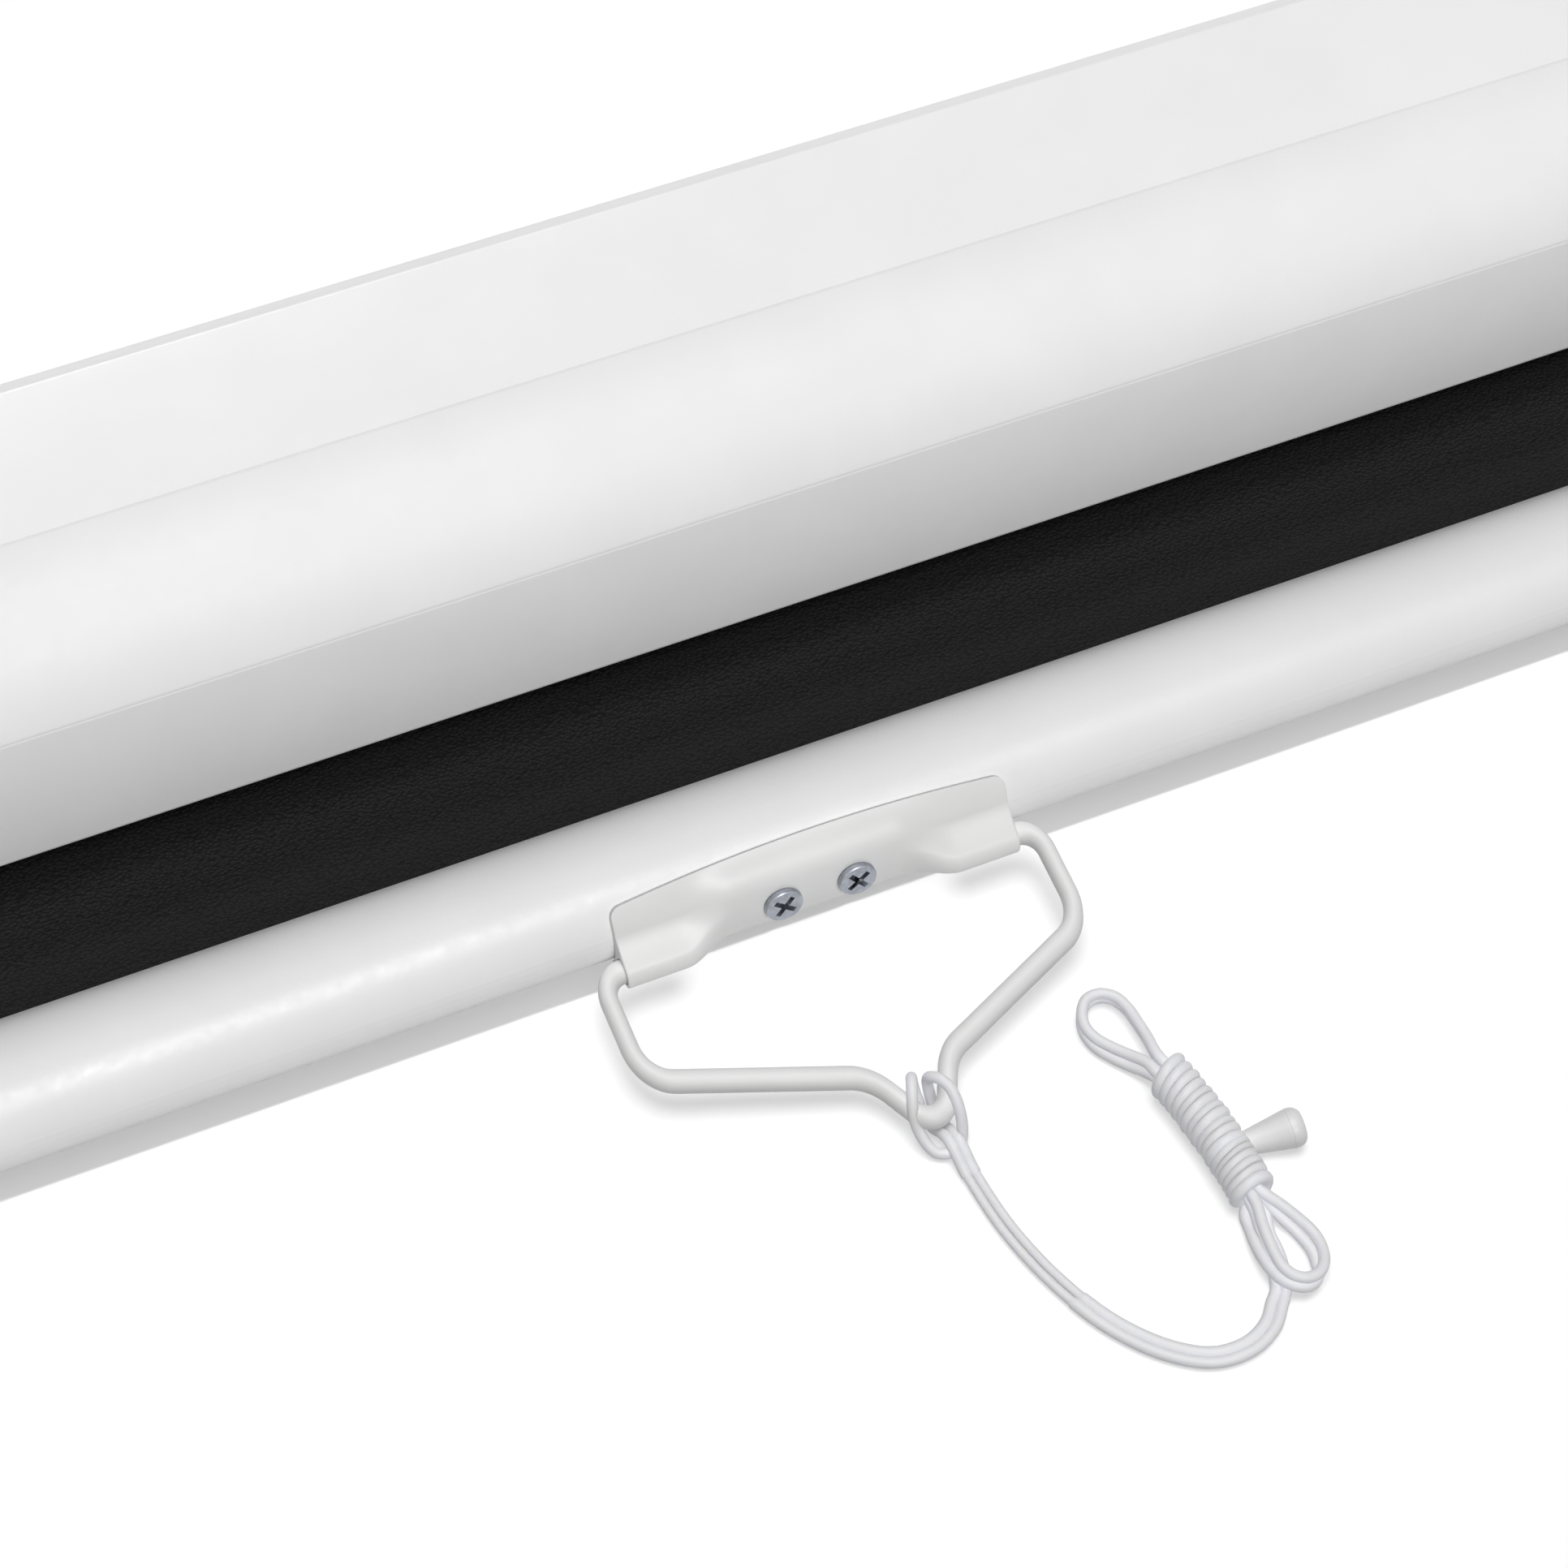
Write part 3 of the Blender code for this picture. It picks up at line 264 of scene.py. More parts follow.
class Nodes:
    """Short calls for building one material's node tree."""

    def __init__(self, made):
        self.tree = made.node_tree
        self.where = self.tree.nodes.new("ShaderNodeTexCoord").outputs["Object"]

    def add(self, kind, **values):
        node = self.tree.nodes.new(kind)
        for key, value in values.items():
            if hasattr(node, key):
                setattr(node, key, value)
            else:
                node.inputs[key.replace("_", " ")].default_value = value
        return node

    def join(self, out, into):
        self.tree.links.new(out, into)

    def scaled(self, x, y, z):
        node = self.add("ShaderNodeMapping")
        node.inputs["Scale"].default_value = (x, y, z)
        self.join(self.where, node.inputs["Vector"])
        return node.outputs["Vector"]

    def noise(self, scale, detail=2.0, rough=0.5, vector=None):
        node = self.add("ShaderNodeTexNoise", Scale=scale, Detail=detail, Roughness=rough)
        self.join(vector or self.where, node.inputs["Vector"])
        return node.outputs["Fac"]

    def ramp(self, value, low, high, colour_low, colour_high):
        node = self.add("ShaderNodeValToRGB")
        node.color_ramp.elements[0].position = low
        node.color_ramp.elements[1].position = high
        node.color_ramp.elements[0].color = (*colour_low, 1.0)
        node.color_ramp.elements[1].color = (*colour_high, 1.0)
        self.join(value, node.inputs["Fac"])
        return node.outputs["Color"]

    def bump(self, height, strength, distance, normal=None):
        node = self.add("ShaderNodeBump")
        node.inputs["Strength"].default_value = strength
        node.inputs["Distance"].default_value = distance
        self.join(height, node.inputs["Height"])
        if normal:
            self.join(normal, node.inputs["Normal"])
        return node.outputs["Normal"]


def grey(level, tint=(0.0, 0.0, 0.0)):
    return tuple(level + t for t in tint)


# Half of the case's height, half of an octagon side, and how strongly its front slope is crowned
CASE_Z, CASE_SIDE, CROWN = 0.040, 0.01657, 13.0
PAINT_WHITE = 0.86


def crowned(n):
    """Normal of the case's sloping front face, which is slightly convex across its width.

    The height falls with the square of the way from the face's middle line, and MINIMUM keeps it
    level on the other faces.
    """
    parts = n.add("ShaderNodeSeparateXYZ")
    n.join(n.where, parts.inputs["Vector"])

    def maths(operation, *values):
        node = n.add("ShaderNodeMath", operation=operation)
        for value, into in zip(values, node.inputs):
            if isinstance(value, float):
                into.default_value = value
            else:
                n.join(value, into)
        return node.outputs["Value"]

    across = maths("ADD", parts.outputs["Y"], maths("SUBTRACT", parts.outputs["Z"], CASE_Z))
    squared = maths("MULTIPLY", maths("MULTIPLY", across, across), 0.5)
    height = maths("MULTIPLY", maths("MINIMUM", squared, CASE_SIDE ** 2), -CROWN)
    return n.bump(height, 1.0, 1.0)


def white_paint(name, crown=False):
    """Powder coat, with a fine orange peel over the sheet's faint unevenness."""
    made, shader = new_material(name, grey(PAINT_WHITE), 0.42)
    n = Nodes(made)
    mottle = n.noise(55.0, detail=3.0)
    n.join(n.ramp(mottle, 0.35, 0.65, grey(0.845), grey(0.865)), shader.inputs["Base Color"])
    peel = n.noise(1150.0, rough=0.45)
    uneven = n.noise(260.0, detail=1.0)
    normal = n.bump(peel, 0.32, 0.00006, crowned(n) if crown else None)
    normal = n.bump(uneven, 0.03, 0.0002, normal)
    n.join(normal, shader.inputs["Normal"])
    n.join(n.ramp(n.noise(420.0), 0.3, 0.7, grey(0.38), grey(0.47)), shader.inputs["Roughness"])
    return made


def moulded_white(name, level, tint=(0.0, 0.0, 0.0), roughness=0.38):
    """Satin moulding of a grey level, from white down to the nylon's grey."""
    made, shader = new_material(name, grey(level, tint), roughness)
    n = Nodes(made)
    shades = grey(level - 0.012, tint), grey(level + 0.006, tint)
    n.join(n.ramp(n.noise(70.0, detail=3.0), 0.35, 0.65, *shades), shader.inputs["Base Color"])
    n.join(n.bump(n.noise(2600.0), 0.03, 0.00001), shader.inputs["Normal"])
    gloss = grey(roughness - 0.01), grey(roughness + 0.02)
    n.join(n.ramp(n.noise(900.0), 0.3, 0.7, *gloss), shader.inputs["Roughness"])
    return made


def black_fabric():
    """Coated border cloth with a fine leather-like pebble grain."""
    made, shader = new_material("black_fabric", grey(0.016), 0.62)
    n = Nodes(made)
    shift = n.add("ShaderNodeMixRGB")
    shift.blend_type = "ADD"
    shift.inputs["Fac"].default_value = 0.0009
    n.join(n.scaled(1.0, 1.25, 1.0), shift.inputs["Color1"])
    n.join(n.noise(420.0), shift.inputs["Color2"])
    cells = n.add("ShaderNodeTexVoronoi", Scale=1250.0, Randomness=0.9)
    cells.feature = "F1"
    n.join(shift.outputs["Color"], cells.inputs["Vector"])
    pebble = cells.outputs["Distance"]
    slack = n.noise(90.0, vector=n.scaled(0.25, 1.0, 1.0))
    normal = n.bump(slack, 0.25, 0.0012, n.bump(pebble, 0.9, 0.00032))
    n.join(normal, shader.inputs["Normal"])
    n.join(n.ramp(pebble, 0.1, 0.8, grey(0.015), grey(0.008)), shader.inputs["Base Color"])
    shader.inputs["Specular IOR Level"].default_value = 0.14
    return made


def white_screen():
    """Matt projection face."""
    made, shader = new_material("white_screen", grey(0.84), 0.9)
    n = Nodes(made)
    n.join(n.ramp(n.noise(40.0), 0.3, 0.7, grey(0.83), grey(0.85)), shader.inputs["Base Color"])
    n.join(n.bump(n.noise(3000.0), 0.25, 0.0001), shader.inputs["Normal"])
    return made


def zinc():
    """Blue zinc plate."""
    made, shader = new_material("zinc", (0.40, 0.43, 0.50), 0.38, 1.0)
    n = Nodes(made)
    low, high = (0.27, 0.29, 0.33), (0.38, 0.40, 0.44)
    n.join(n.ramp(n.noise(900.0, detail=3.0), 0.3, 0.7, low, high), shader.inputs["Base Color"])
    gloss = grey(0.32), grey(0.46)
    n.join(n.ramp(n.noise(1500.0, detail=3.0), 0.3, 0.7, *gloss), shader.inputs["Roughness"])
    n.join(n.bump(n.noise(2200.0, detail=3.0), 0.12, 0.00005), shader.inputs["Normal"])
    return made


def steel(name, low, high, rough):
    """Drawn steel, with streaks along X."""
    made, shader = new_material(name, low, rough, 1.0)
    n = Nodes(made)
    streaks = n.noise(300.0, 3.0, 0.6, n.scaled(0.15, 1.0, 1.0))
    n.join(n.ramp(streaks, 0.3, 0.7, low, high), shader.inputs["Base Color"])
    gloss = grey(rough - 0.06), grey(rough + 0.08)
    n.join(n.ramp(n.noise(700.0, detail=3.0), 0.3, 0.7, *gloss), shader.inputs["Roughness"])
    return made


def cord_material():
    """Smooth milky cord, with faint fibre streaks along it."""
    made, shader = new_material("cord", (0.84, 0.84, 0.88), 0.46)
    n = Nodes(made)
    uv = n.add("ShaderNodeUVMap", uv_map="along").outputs["UV"]
    stretch = n.add("ShaderNodeMapping")
    stretch.inputs["Scale"].default_value = (70.0, 9.0, 1.0)
    n.join(uv, stretch.inputs["Vector"])
    streaks = n.noise(1.0, 3.0, 0.6, stretch.outputs["Vector"])
    shades = (0.79, 0.79, 0.83), (0.82, 0.82, 0.85)
    n.join(n.ramp(streaks, 0.3, 0.7, *shades), shader.inputs["Base Color"])
    n.join(n.bump(streaks, 0.06, 0.00006), shader.inputs["Normal"])
    shader.inputs["Subsurface Weight"].default_value = 1.0
    shader.inputs["Subsurface Radius"].default_value = (0.8, 0.85, 1.0)
    shader.inputs["Subsurface Scale"].default_value = 0.0024
    return made


PAINT = white_paint("white_paint")
CASE_PAINT = white_paint("case_paint", True)
CLIP_WHITE = moulded_white("clip_white", 0.76, (0.0, 0.0, -0.004), 0.42)
CAP_WHITE = moulded_white("cap_white", 0.82)
WIRE_WHITE = moulded_white("wire_white", 0.80, (0.0, 0.0, -0.004), 0.45)
KNOB_WHITE = moulded_white("knob_white", 0.79, (0.004, 0.004, 0.0), 0.34)
NYLON = moulded_white("nylon", 0.30, roughness=0.5)
BLACK = black_fabric()
SCREEN = white_screen()
ZINC = zinc()
STEEL = steel("tube_steel", (0.50, 0.51, 0.53), (0.62, 0.63, 0.65), 0.34)
SPRING = steel("spring_steel", (0.20, 0.20, 0.21), (0.33, 0.33, 0.34), 0.36)
CORD = cord_material()


def dress(obj, material):
    obj.data.materials.clear()
    obj.data.materials.append(material)
    return obj


# Cord: two strands from the hitch on the handle's tip, over the floor, into the hank and to the
# knob. All in millimetres. AXIS is the winding's, TURN says how the outer turns lie round it, CORE
# how the strands run inside them, and BOW how far the winding bends toward +X.

CORD_R = 1.05
AXIS_FROM = Vector((44.5, -149.75, 0.0))
AXIS_WAY = Vector((0.1179, -0.9930, 0.0))
AXIS_SIDE = Vector((0.9930, 0.1179, 0.0))
HANK_Z, HANK_MIDDLE = 4.42, 13.0
BOW_MIDDLE, BOW_FALL = 0.35, 0.65
TURN_R, TURN_STRAND, TURN_LEAN = 3.25, 1.16, 0.42
TURN_START, TURN_STEP = -72, 18
CORE_R, CORE_STRAND = 1.30, 0.80
WINDING_FROM, WINDING_TO = -2.0, 28.0
CORE_EDGE, TURN_EDGE = 2.0, 4.2
STRANDS_APART, STRANDS_SPREAD, FLOOR_GAP = 0.85, 0.12, 0.05
POINT_STEP = 0.42


def hank(s, t, z):
    """A place by the hank: s along the winding's bent axis, t from it toward +X, z up."""
    bow = BOW_MIDDLE - BOW_FALL * min(1.2, ((s - HANK_MIDDLE) / HANK_MIDDLE) ** 2)
    p = AXIS_FROM + AXIS_WAY * s + AXIS_SIDE * (t + bow)
    return Vector((p[0], p[1], z))


def core(s, degrees, out=CORE_R):
    """A place at an angle round the winding's axis, in its core unless out says otherwise."""
    turn = math.radians(degrees)
    return hank(s, out * math.cos(turn), HANK_Z + out * math.sin(turn))


def wound(tops, last_bottom, way, slant):
    """Turns round the core. tops is where each passes the top, and way is 1 as s grows, else -1.

    slant(s) is how far a turn leans over along the axis, and the radius wavers a little.
    """
    keys = [(-90, tops[0] - (tops[1] - tops[0]) / 2)]
    for i, top in enumerate(tops):
        keys.append((90 + 360 * i, top))
        bottom = (top + tops[i + 1]) / 2 if i + 1 < len(tops) else last_bottom
        keys.append((270 + 360 * i, bottom))
    points = []
    angle = TURN_START
    while angle <= keys[-1][0] + 0.01:
        for (a0, s0), (a1, s1) in zip(keys, keys[1:]):
            if a0 <= angle <= a1:
                s = s0 + (s1 - s0) * (angle - a0) / (a1 - a0)
                break
        turn = math.radians(angle)
        lean = slant(s) - TURN_LEAN * way
        radius = TURN_R + 0.06 * math.sin(angle / 97.0) + 0.05 * math.sin(angle / 31.0 + 1.0)
        points.append(hank(s - lean * math.cos(turn), radius * math.cos(turn),
                           max(HANK_Z + radius * math.sin(turn), TURN_STRAND)))
        angle += TURN_STEP
    return points


def v3(rows):
    return [Vector(row) for row in rows]


BIGHT_RIGHT = v3([
    (2.2, -147.2, 1.2), (3.9, -147.3, 1.3), (5.3, -146.4, 2.2), (6.1, -144.9, 4.2),
    (6.35, -143.1, 6.6), (6.3, -141.3, 8.2), (6.0, -139.3, 9.2), (5.0, -137.3, 9.6),
    (3.9, -135.7, 8.6), (3.7, -134.9, 6.6), (3.8, -135.2, 4.2), (3.9, -136.4, 2.2)
])
BIGHT_LEFT = v3([
    (2.2, -147.2, 1.2), (0.6, -146.5, 1.3), (-0.5, -144.9, 2.2), (-1.2, -142.9, 3.8),
    (-1.45, -141.0, 5.8), (-1.15, -139.3, 7.7), (-0.6, -137.8, 8.9), (0.05, -136.1, 9.3),
    (0.65, -134.6, 8.6), (1.1, -133.9, 7.0), (1.3, -134.1, 5.0), (1.5, -135.4, 2.8)
])
LEG_RIGHT = v3([
    (3.95, -138.6, 1.1), (4.1, -141.5, 1.15), (4.5, -144.0, 2.4), (4.75, -146.2, 3.35),
    (4.95, -148.4, 2.6), (5.2, -150.8, 1.35)
])
LEG_LEFT = v3([
    (1.7, -138.4, 1.1), (2.0, -141.3, 1.15), (2.7, -143.8, 2.5), (3.0, -146.2, 3.4),
    (3.25, -148.6, 2.7), (3.5, -151.0, 1.4)
])
FLOOR = [
    (4.6, -154.5), (5.9, -165.0), (9.2, -177.0), (14.4, -188.2), (21.1, -196.4), (28.0, -200.8),
    (34.6, -201.2), (39.6, -199.0), (42.4, -195.9)
]
INTO_HANK_A = v3([
    (43.3, -193.6, 1.1), (44.3, -191.2, 1.1), (45.2, -188.2, 1.1), (45.7, -185.4, 1.15),
    (45.9, -182.8, 1.6)
])
INTO_HANK_B = v3([
    (44.9, -194.3, 1.1), (45.9, -192.0, 1.1), (46.9, -189.0, 1.1), (47.3, -186.2, 1.1),
    (47.4, -183.2, 1.3)
])
LOOP_TOP = v3([
    (46.4, -179.3, 5.5), (45.7, -182.9, 5.3), (45.3, -186.2, 5.1), (45.2, -188.8, 4.9),
    (45.4, -191.4, 4.7), (46.4, -193.4, 4.5), (48.2, -194.6, 4.2), (50.3, -194.6, 3.8),
    (52.1, -193.6, 3.4), (53.4, -191.8, 2.9), (54.1, -189.6, 2.5), (54.2, -187.4, 2.4),
    (53.6, -185.1, 2.6), (52.4, -182.9, 3.3), (50.9, -180.6, 4.2)
])
LOOP_UNDER = v3([
    (49.6, -179.8, 2.8), (50.6, -181.9, 1.8), (51.7, -184.4, 1.15), (52.3, -186.7, 1.1),
    (52.6, -188.9, 1.1), (52.3, -191.2, 1.3), (51.5, -193.5, 1.7), (50.1, -195.1, 2.2),
    (48.2, -195.6, 2.7), (46.4, -195.0, 3.2), (44.7, -193.1, 3.2), (43.9, -190.2, 2.7),
    (43.8, -186.8, 2.1), (44.1, -183.7, 1.6), (44.6, -180.8, 1.15)
])
UPPER_TOP = v3([
    (44.2, -144.4, 4.2), (44.4, -140.6, 3.6), (44.3, -136.8, 3.2), (43.9, -133.1, 3.15),
    (42.8, -130.3, 3.15), (40.5, -128.7, 3.15), (37.9, -128.9, 3.15), (36.0, -131.0, 3.15),
    (35.2, -133.9, 3.15), (35.9, -136.9, 3.15), (38.0, -140.1, 3.2), (40.1, -142.9, 3.6),
    (41.7, -145.6, 4.4)
])
UPPER_UNDER = v3([
    (44.6, -144.2, 2.4), (44.9, -140.1, 1.6), (44.8, -136.3, 1.2), (44.4, -132.7, 1.1),
    (43.1, -129.9, 1.1), (40.9, -128.4, 1.1), (38.3, -128.6, 1.1), (36.3, -130.6, 1.1),
    (35.2, -133.7, 1.1), (35.6, -137.2, 1.1), (37.6, -140.7, 1.1), (39.6, -143.5, 1.35),
    (41.2, -146.0, 2.2)
])


def floor_strand(side):
    """One strand of the doubled cord on the floor: 1 lies left of FLOOR's run, -1 right of it."""
    middle = [Vector((x, y, 0.0)) for x, y in FLOOR]
    up = Vector((0.0, 0.0, CORD_R + FLOOR_GAP))
    made = []
    for i, place in enumerate(middle):
        ahead = middle[min(i + 1, len(middle) - 1)] - middle[max(i - 1, 0)]
        apart = STRANDS_APART + STRANDS_SPREAD * min(1.0, i / 4)
        left = Vector((-ahead[1], ahead[0], 0.0)).normalized()
        made.append(place + left * side * apart + up)
    return made


# Where each turn passes the top of the winding
TOPS_DOWN = [-0.3, 1.75, 3.67, 5.46, 7.4, 8.6, 10.75, 11.95, 14.15, 15.35, 17.3]
TOPS_UP = [26.2, 24.25, 23.15, 21.2, 20.2, 18.75]

# Strand a: right leg, up the core, lower of the two upper loops, down the core, lower loop, and
# the winding from below
strand_a = BIGHT_RIGHT + LEG_RIGHT + floor_strand(1) + INTO_HANK_A
strand_a += [hank(29.5, -1.2, 2.9), core(26.5, -153), core(20, -153), core(12, -153),
             core(5, -153), core(0.8, -150)]
strand_a += UPPER_UNDER[::-1]
strand_a += [hank(-1.9, 0.5, 2.9), core(1.0, -81), core(6, -78), core(13, -45), core(20, -12),
             core(26, -9)]
strand_a += LOOP_UNDER
strand_a += [hank(28.9, -2.6, 1.1), hank(27.7, -1.7, 1.1)]
strand_a += wound(TOPS_UP, 18.45, -1,
                  lambda s: 0.2 + 0.3 * min(1.0, max(0.0, (26.0 - s) / 5.0)))
strand_a += [hank(18.4, 1.6, 1.15), hank(18.2, 3.2, 1.4), hank(18.0, 4.7, 1.8),
             hank(17.9, 6.2, 2.2)]

# Strand b: left leg, up the core, upper loop, down the core, top lower loop, up the core, and the
# winding from above
strand_b = BIGHT_LEFT + LEG_LEFT + floor_strand(-1) + INTO_HANK_B
strand_b += [hank(29.6, 0.6, 2.3), core(26.5, -81), core(20, -80), core(13, -50), core(6, -14),
             core(0.8, -9)]
strand_b += UPPER_TOP
strand_b += [hank(-1.2, -1.6, 5.0), core(1.0, 135), core(13, 135), core(25.5, 135)]
strand_b += LOOP_TOP
strand_b += [core(26.2, 63), core(13, 63), core(5, 63)]
strand_b += [core(s, turn, out) for s, turn, out in (
    (3.6, 80, 1.45), (2.6, 115, 1.75), (1.6, 155, 2.1),
    (0.7, 195, 2.5), (-0.1, 235, 2.9), (-0.9, 262, 3.15))]
strand_b += wound(TOPS_DOWN, 17.6, 1, lambda s: 1.4 - 0.055 * s)
strand_b += [hank(17.5, 1.6, 1.15), hank(17.2, 3.2, 1.4), hank(16.9, 4.7, 1.8),
             hank(16.7, 6.2, 2.2)]


def strand_radius(p):
    """Thinner where the winding squeezes the strand and in the knob, fuller where it is wound."""
    local = p - AXIS_FROM
    s, t = local.dot(AXIS_WAY), local.dot(AXIS_SIDE)
    out = math.hypot(t, p[2] - HANK_Z)
    if WINDING_FROM < s < WINDING_TO:
        edge = min(1.0, min(s - WINDING_FROM, WINDING_TO - s) / 2.0)
        if out < CORE_EDGE:
            return CORD_R + (CORE_STRAND - CORD_R) * edge
        if out < TURN_EDGE:
            return CORD_R + (TURN_STRAND - CORD_R) * edge * min(1.0, (TURN_EDGE - out) / 0.4)
        return CORD_R - 0.2 * min(1.0, (out - TURN_EDGE) / 1.2)
    return CORD_R


def make_strand(name, route):
    line = curve_points(route, POINT_STEP)
    radii = [strand_radius(p) * MM for p in line]
    path = [p * MM for p in line]
    return dress(tube(name, path, radii), CORD), path


cord_a, path_a = make_strand("cord_strand_a", strand_a)
cord_b, path_b = make_strand("cord_strand_b", strand_b)


# Knob: a tapered moulded cone, a step, and a rounded cap. KNOB_HIDDEN is how far it starts inside
# the winding. Its lengths and radii are in millimetres.

KNOB_FROM = mm(52.0, -166.25, 2.4)
KNOB_TO = mm(62.35, -167.53, 4.21)
KNOB_L, KNOB_SEAM, KNOB_R, KNOB_NECK, KNOB_HIDDEN = 10.0, 7.2, 3.65, 2.35, 2.4
MOULD_RIDGE = 0.00004


def knob():
    slope = (KNOB_R - 0.05 - KNOB_NECK) / KNOB_SEAM
    root = KNOB_NECK - KNOB_HIDDEN * slope
    rows = [(-KNOB_HIDDEN + 0.5, 0.3), (-KNOB_HIDDEN, root - 0.25), (-KNOB_HIDDEN + 0.2, root)]
    rows += [(KNOB_SEAM * k / 8, KNOB_NECK + KNOB_SEAM * slope * k / 8) for k in range(9)]
    rows += [(KNOB_SEAM + 0.03, KNOB_R - 0.16), (KNOB_SEAM + 0.13, KNOB_R - 0.15),
             (KNOB_SEAM + 0.20, KNOB_R - 0.03), (KNOB_SEAM + 0.34, KNOB_R)]
    cap = KNOB_L - KNOB_SEAM
    for k in range(1, 11):
        a = math.radians(90 * k / 10)
        rows.append((KNOB_SEAM + cap * (0.26 + 0.74 * math.sin(a)),
                     KNOB_R - 1.75 * (1 - math.cos(a))))
    rows += [(KNOB_L + 0.05, 1.0), (KNOB_L + 0.07, 0.02)]
    obj = revolve("knob", [(a * MM, r * MM) for a, r in rows], KNOB_FROM, KNOB_TO - KNOB_FROM, 72)
    # A fine ridge along the cone on both sides, where the mould's halves met
    way = (KNOB_TO - KNOB_FROM).normalized()
    flank = Vector((0.0, 0.25, 1.0))
    flank = (flank - way * flank.dot(way)).normalized()
    for v in obj.data.vertices:
        arm = v.co - KNOB_FROM
        along = arm.dot(way)
        out = arm - way * along
        if 0.0 < along < KNOB_SEAM * MM and out.length > 1.5 * MM:
            if abs(out.normalized().dot(flank)) > 0.9988:
                v.co += out.normalized() * MOULD_RIDGE
    obj.data.update()
    return dress(obj, KNOB_WHITE)


knob_obj = knob()
for piece in (cord_a, cord_b, knob_obj):
    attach(piece, "handle")
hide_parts("pull_cord", "cord_hank")
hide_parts("cord_knob")


# Bar, clip and handle

BAR_R, BAR_Y, BAR_Z = 0.0127, -0.0788, 0.0127
FIT = 0.0003
ROD_R, ROD_SQUEEZE = 0.00225, 0.76
PIVOT_Y, PIVOT_Z = -0.0953, 0.0100
HANDLE_DROP = math.radians(6.0)
CLIP_HALF, CLIP_EDGE_T, CLIP_MID_T = 0.0385, 0.0009, 0.0027
SOCKET_FROM, SOCKET_TO, SOCKET_WALL, SOCKET_DEPTH = 0.016, 0.027, 0.0007, 0.0112
CLIP_CORNER_R = 0.0020
CLIP_SCREW_X, CLIP_SCREW_TILT, CLIP_SCREW_DROP = 0.0072, math.radians(7.5), 0.0011
SCREW_WAY = Vector((0.0, math.cos(CLIP_SCREW_TILT), -math.sin(CLIP_SCREW_TILT)))

# The bent wire from one socket to the other: x, how far out from the pivot, and the bend's radius
HANDLE_END = CLIP_HALF - SOCKET_DEPTH + FIT
HANDLE_LINE = [(-HANDLE_END, 0.0, 0.0), (-0.0429, 0.0, 0.0040), (-0.0429, 0.0216, 0.0070),
               (-0.0055, 0.0354, 0.0100), (0.0025, 0.0508, 0.0039), (0.0095, 0.0360, 0.0080),
               (0.0429, 0.0208, 0.0070), (0.0429, 0.0, 0.0040), (HANDLE_END, 0.0, 0.0)]
ARC_STEPS, WIRE_STEP = 14, 0.002


def rounded(points, bends, count):
    """Replace each inner corner of an open line by an arc of its own radius."""
    result = []
    for i, corner in enumerate(points):
        if i in (0, len(points) - 1):
            result.append(corner)
            continue
        before, after = points[i - 1] - corner, points[i + 1] - corner
        half = before.angle(after) / 2
        reach = min(bends[i] / math.tan(half), 0.49 * before.length, 0.49 * after.length)
        radius = reach * math.tan(half)
        inward = (before.normalized() + after.normalized()).normalized()
        centre = corner + inward * radius / math.sin(half)
        start = corner + before.normalized() * reach - centre
        stop = corner + after.normalized() * reach - centre
        sweep = start.angle(stop)
        normal = start.cross(stop).normalized()
        for k in range(count + 1):
            result.append(centre + Matrix.Rotation(sweep * k / count, 3, normal) @ start)
    return result


def pull_handle():
    """The wire, drawn wider and then squeezed in X, which leaves its legs oval."""
    corners = [Vector((x / ROD_SQUEEZE, -out, 0.0)) for x, out, bend in HANDLE_LINE]
    line = rounded(corners, [bend / ROD_SQUEEZE for x, out, bend in HANDLE_LINE], ARC_STEPS)
    spaced = []
    for p, q in zip(line, line[1:]):
        parts = max(1, round((q - p).length / WIRE_STEP))
        spaced += [p.lerp(q, k / parts) for k in range(parts)]
    spaced.append(line[-1])
    obj = tube("handle_wire", spaced, ROD_R, 28)
    place = Matrix.Translation((0.0, PIVOT_Y, PIVOT_Z)) @ Matrix.Rotation(HANDLE_DROP, 4, "X")
    obj.data.transform(place @ Matrix.Scale(ROD_SQUEEZE, 4, (1.0, 0.0, 0.0)))
    dress(obj, WIRE_WHITE)
    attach(obj, "handle")
    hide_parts("pull_handle")
    return obj


def bar_point(angle, radius):
    """A place in the (Y, Z) section, at an angle round the bar's axis from its front up."""
    return Vector((BAR_Y - radius * math.cos(angle), BAR_Z + radius * math.sin(angle)))


def ease(t):
    t = max(0.0, min(1.0, t))
    return t * t * (3 - 2 * t)


# The clip's outer line in both of its sections, as angles round the bar and counts of steps
TOP_MID, TOP_END = math.radians(49.0), math.radians(40.0)
FLAT_FROM, LOW_MID, LOW_END = math.radians(20.0), math.radians(-38.0), math.radians(-32.0)
HUG_TO, RING_FROM = math.radians(17.0), math.radians(58.0)
HUG_LIFT = 0.0002
HUG, SWEEP, RING, UNDER = 15, 10, 24, 7
OUTER = (HUG + 1) + (SWEEP - 1) + (RING + 1) + UNDER
INNER, EDGE_ROWS = 24, 12


def outer_middle():
    """Outer line of the clip's middle: thin at its top edge, then thicker round the screws."""
    points = []
    for i in range(OUTER):
        angle = TOP_MID + (LOW_MID - TOP_MID) * i / (OUTER - 1)
        thick = ease((TOP_MID - angle) / (TOP_MID - FLAT_FROM))
        added = CLIP_EDGE_T + (CLIP_MID_T - CLIP_EDGE_T) * thick
        points.append(bar_point(angle, BAR_R + FIT + added))
    return points


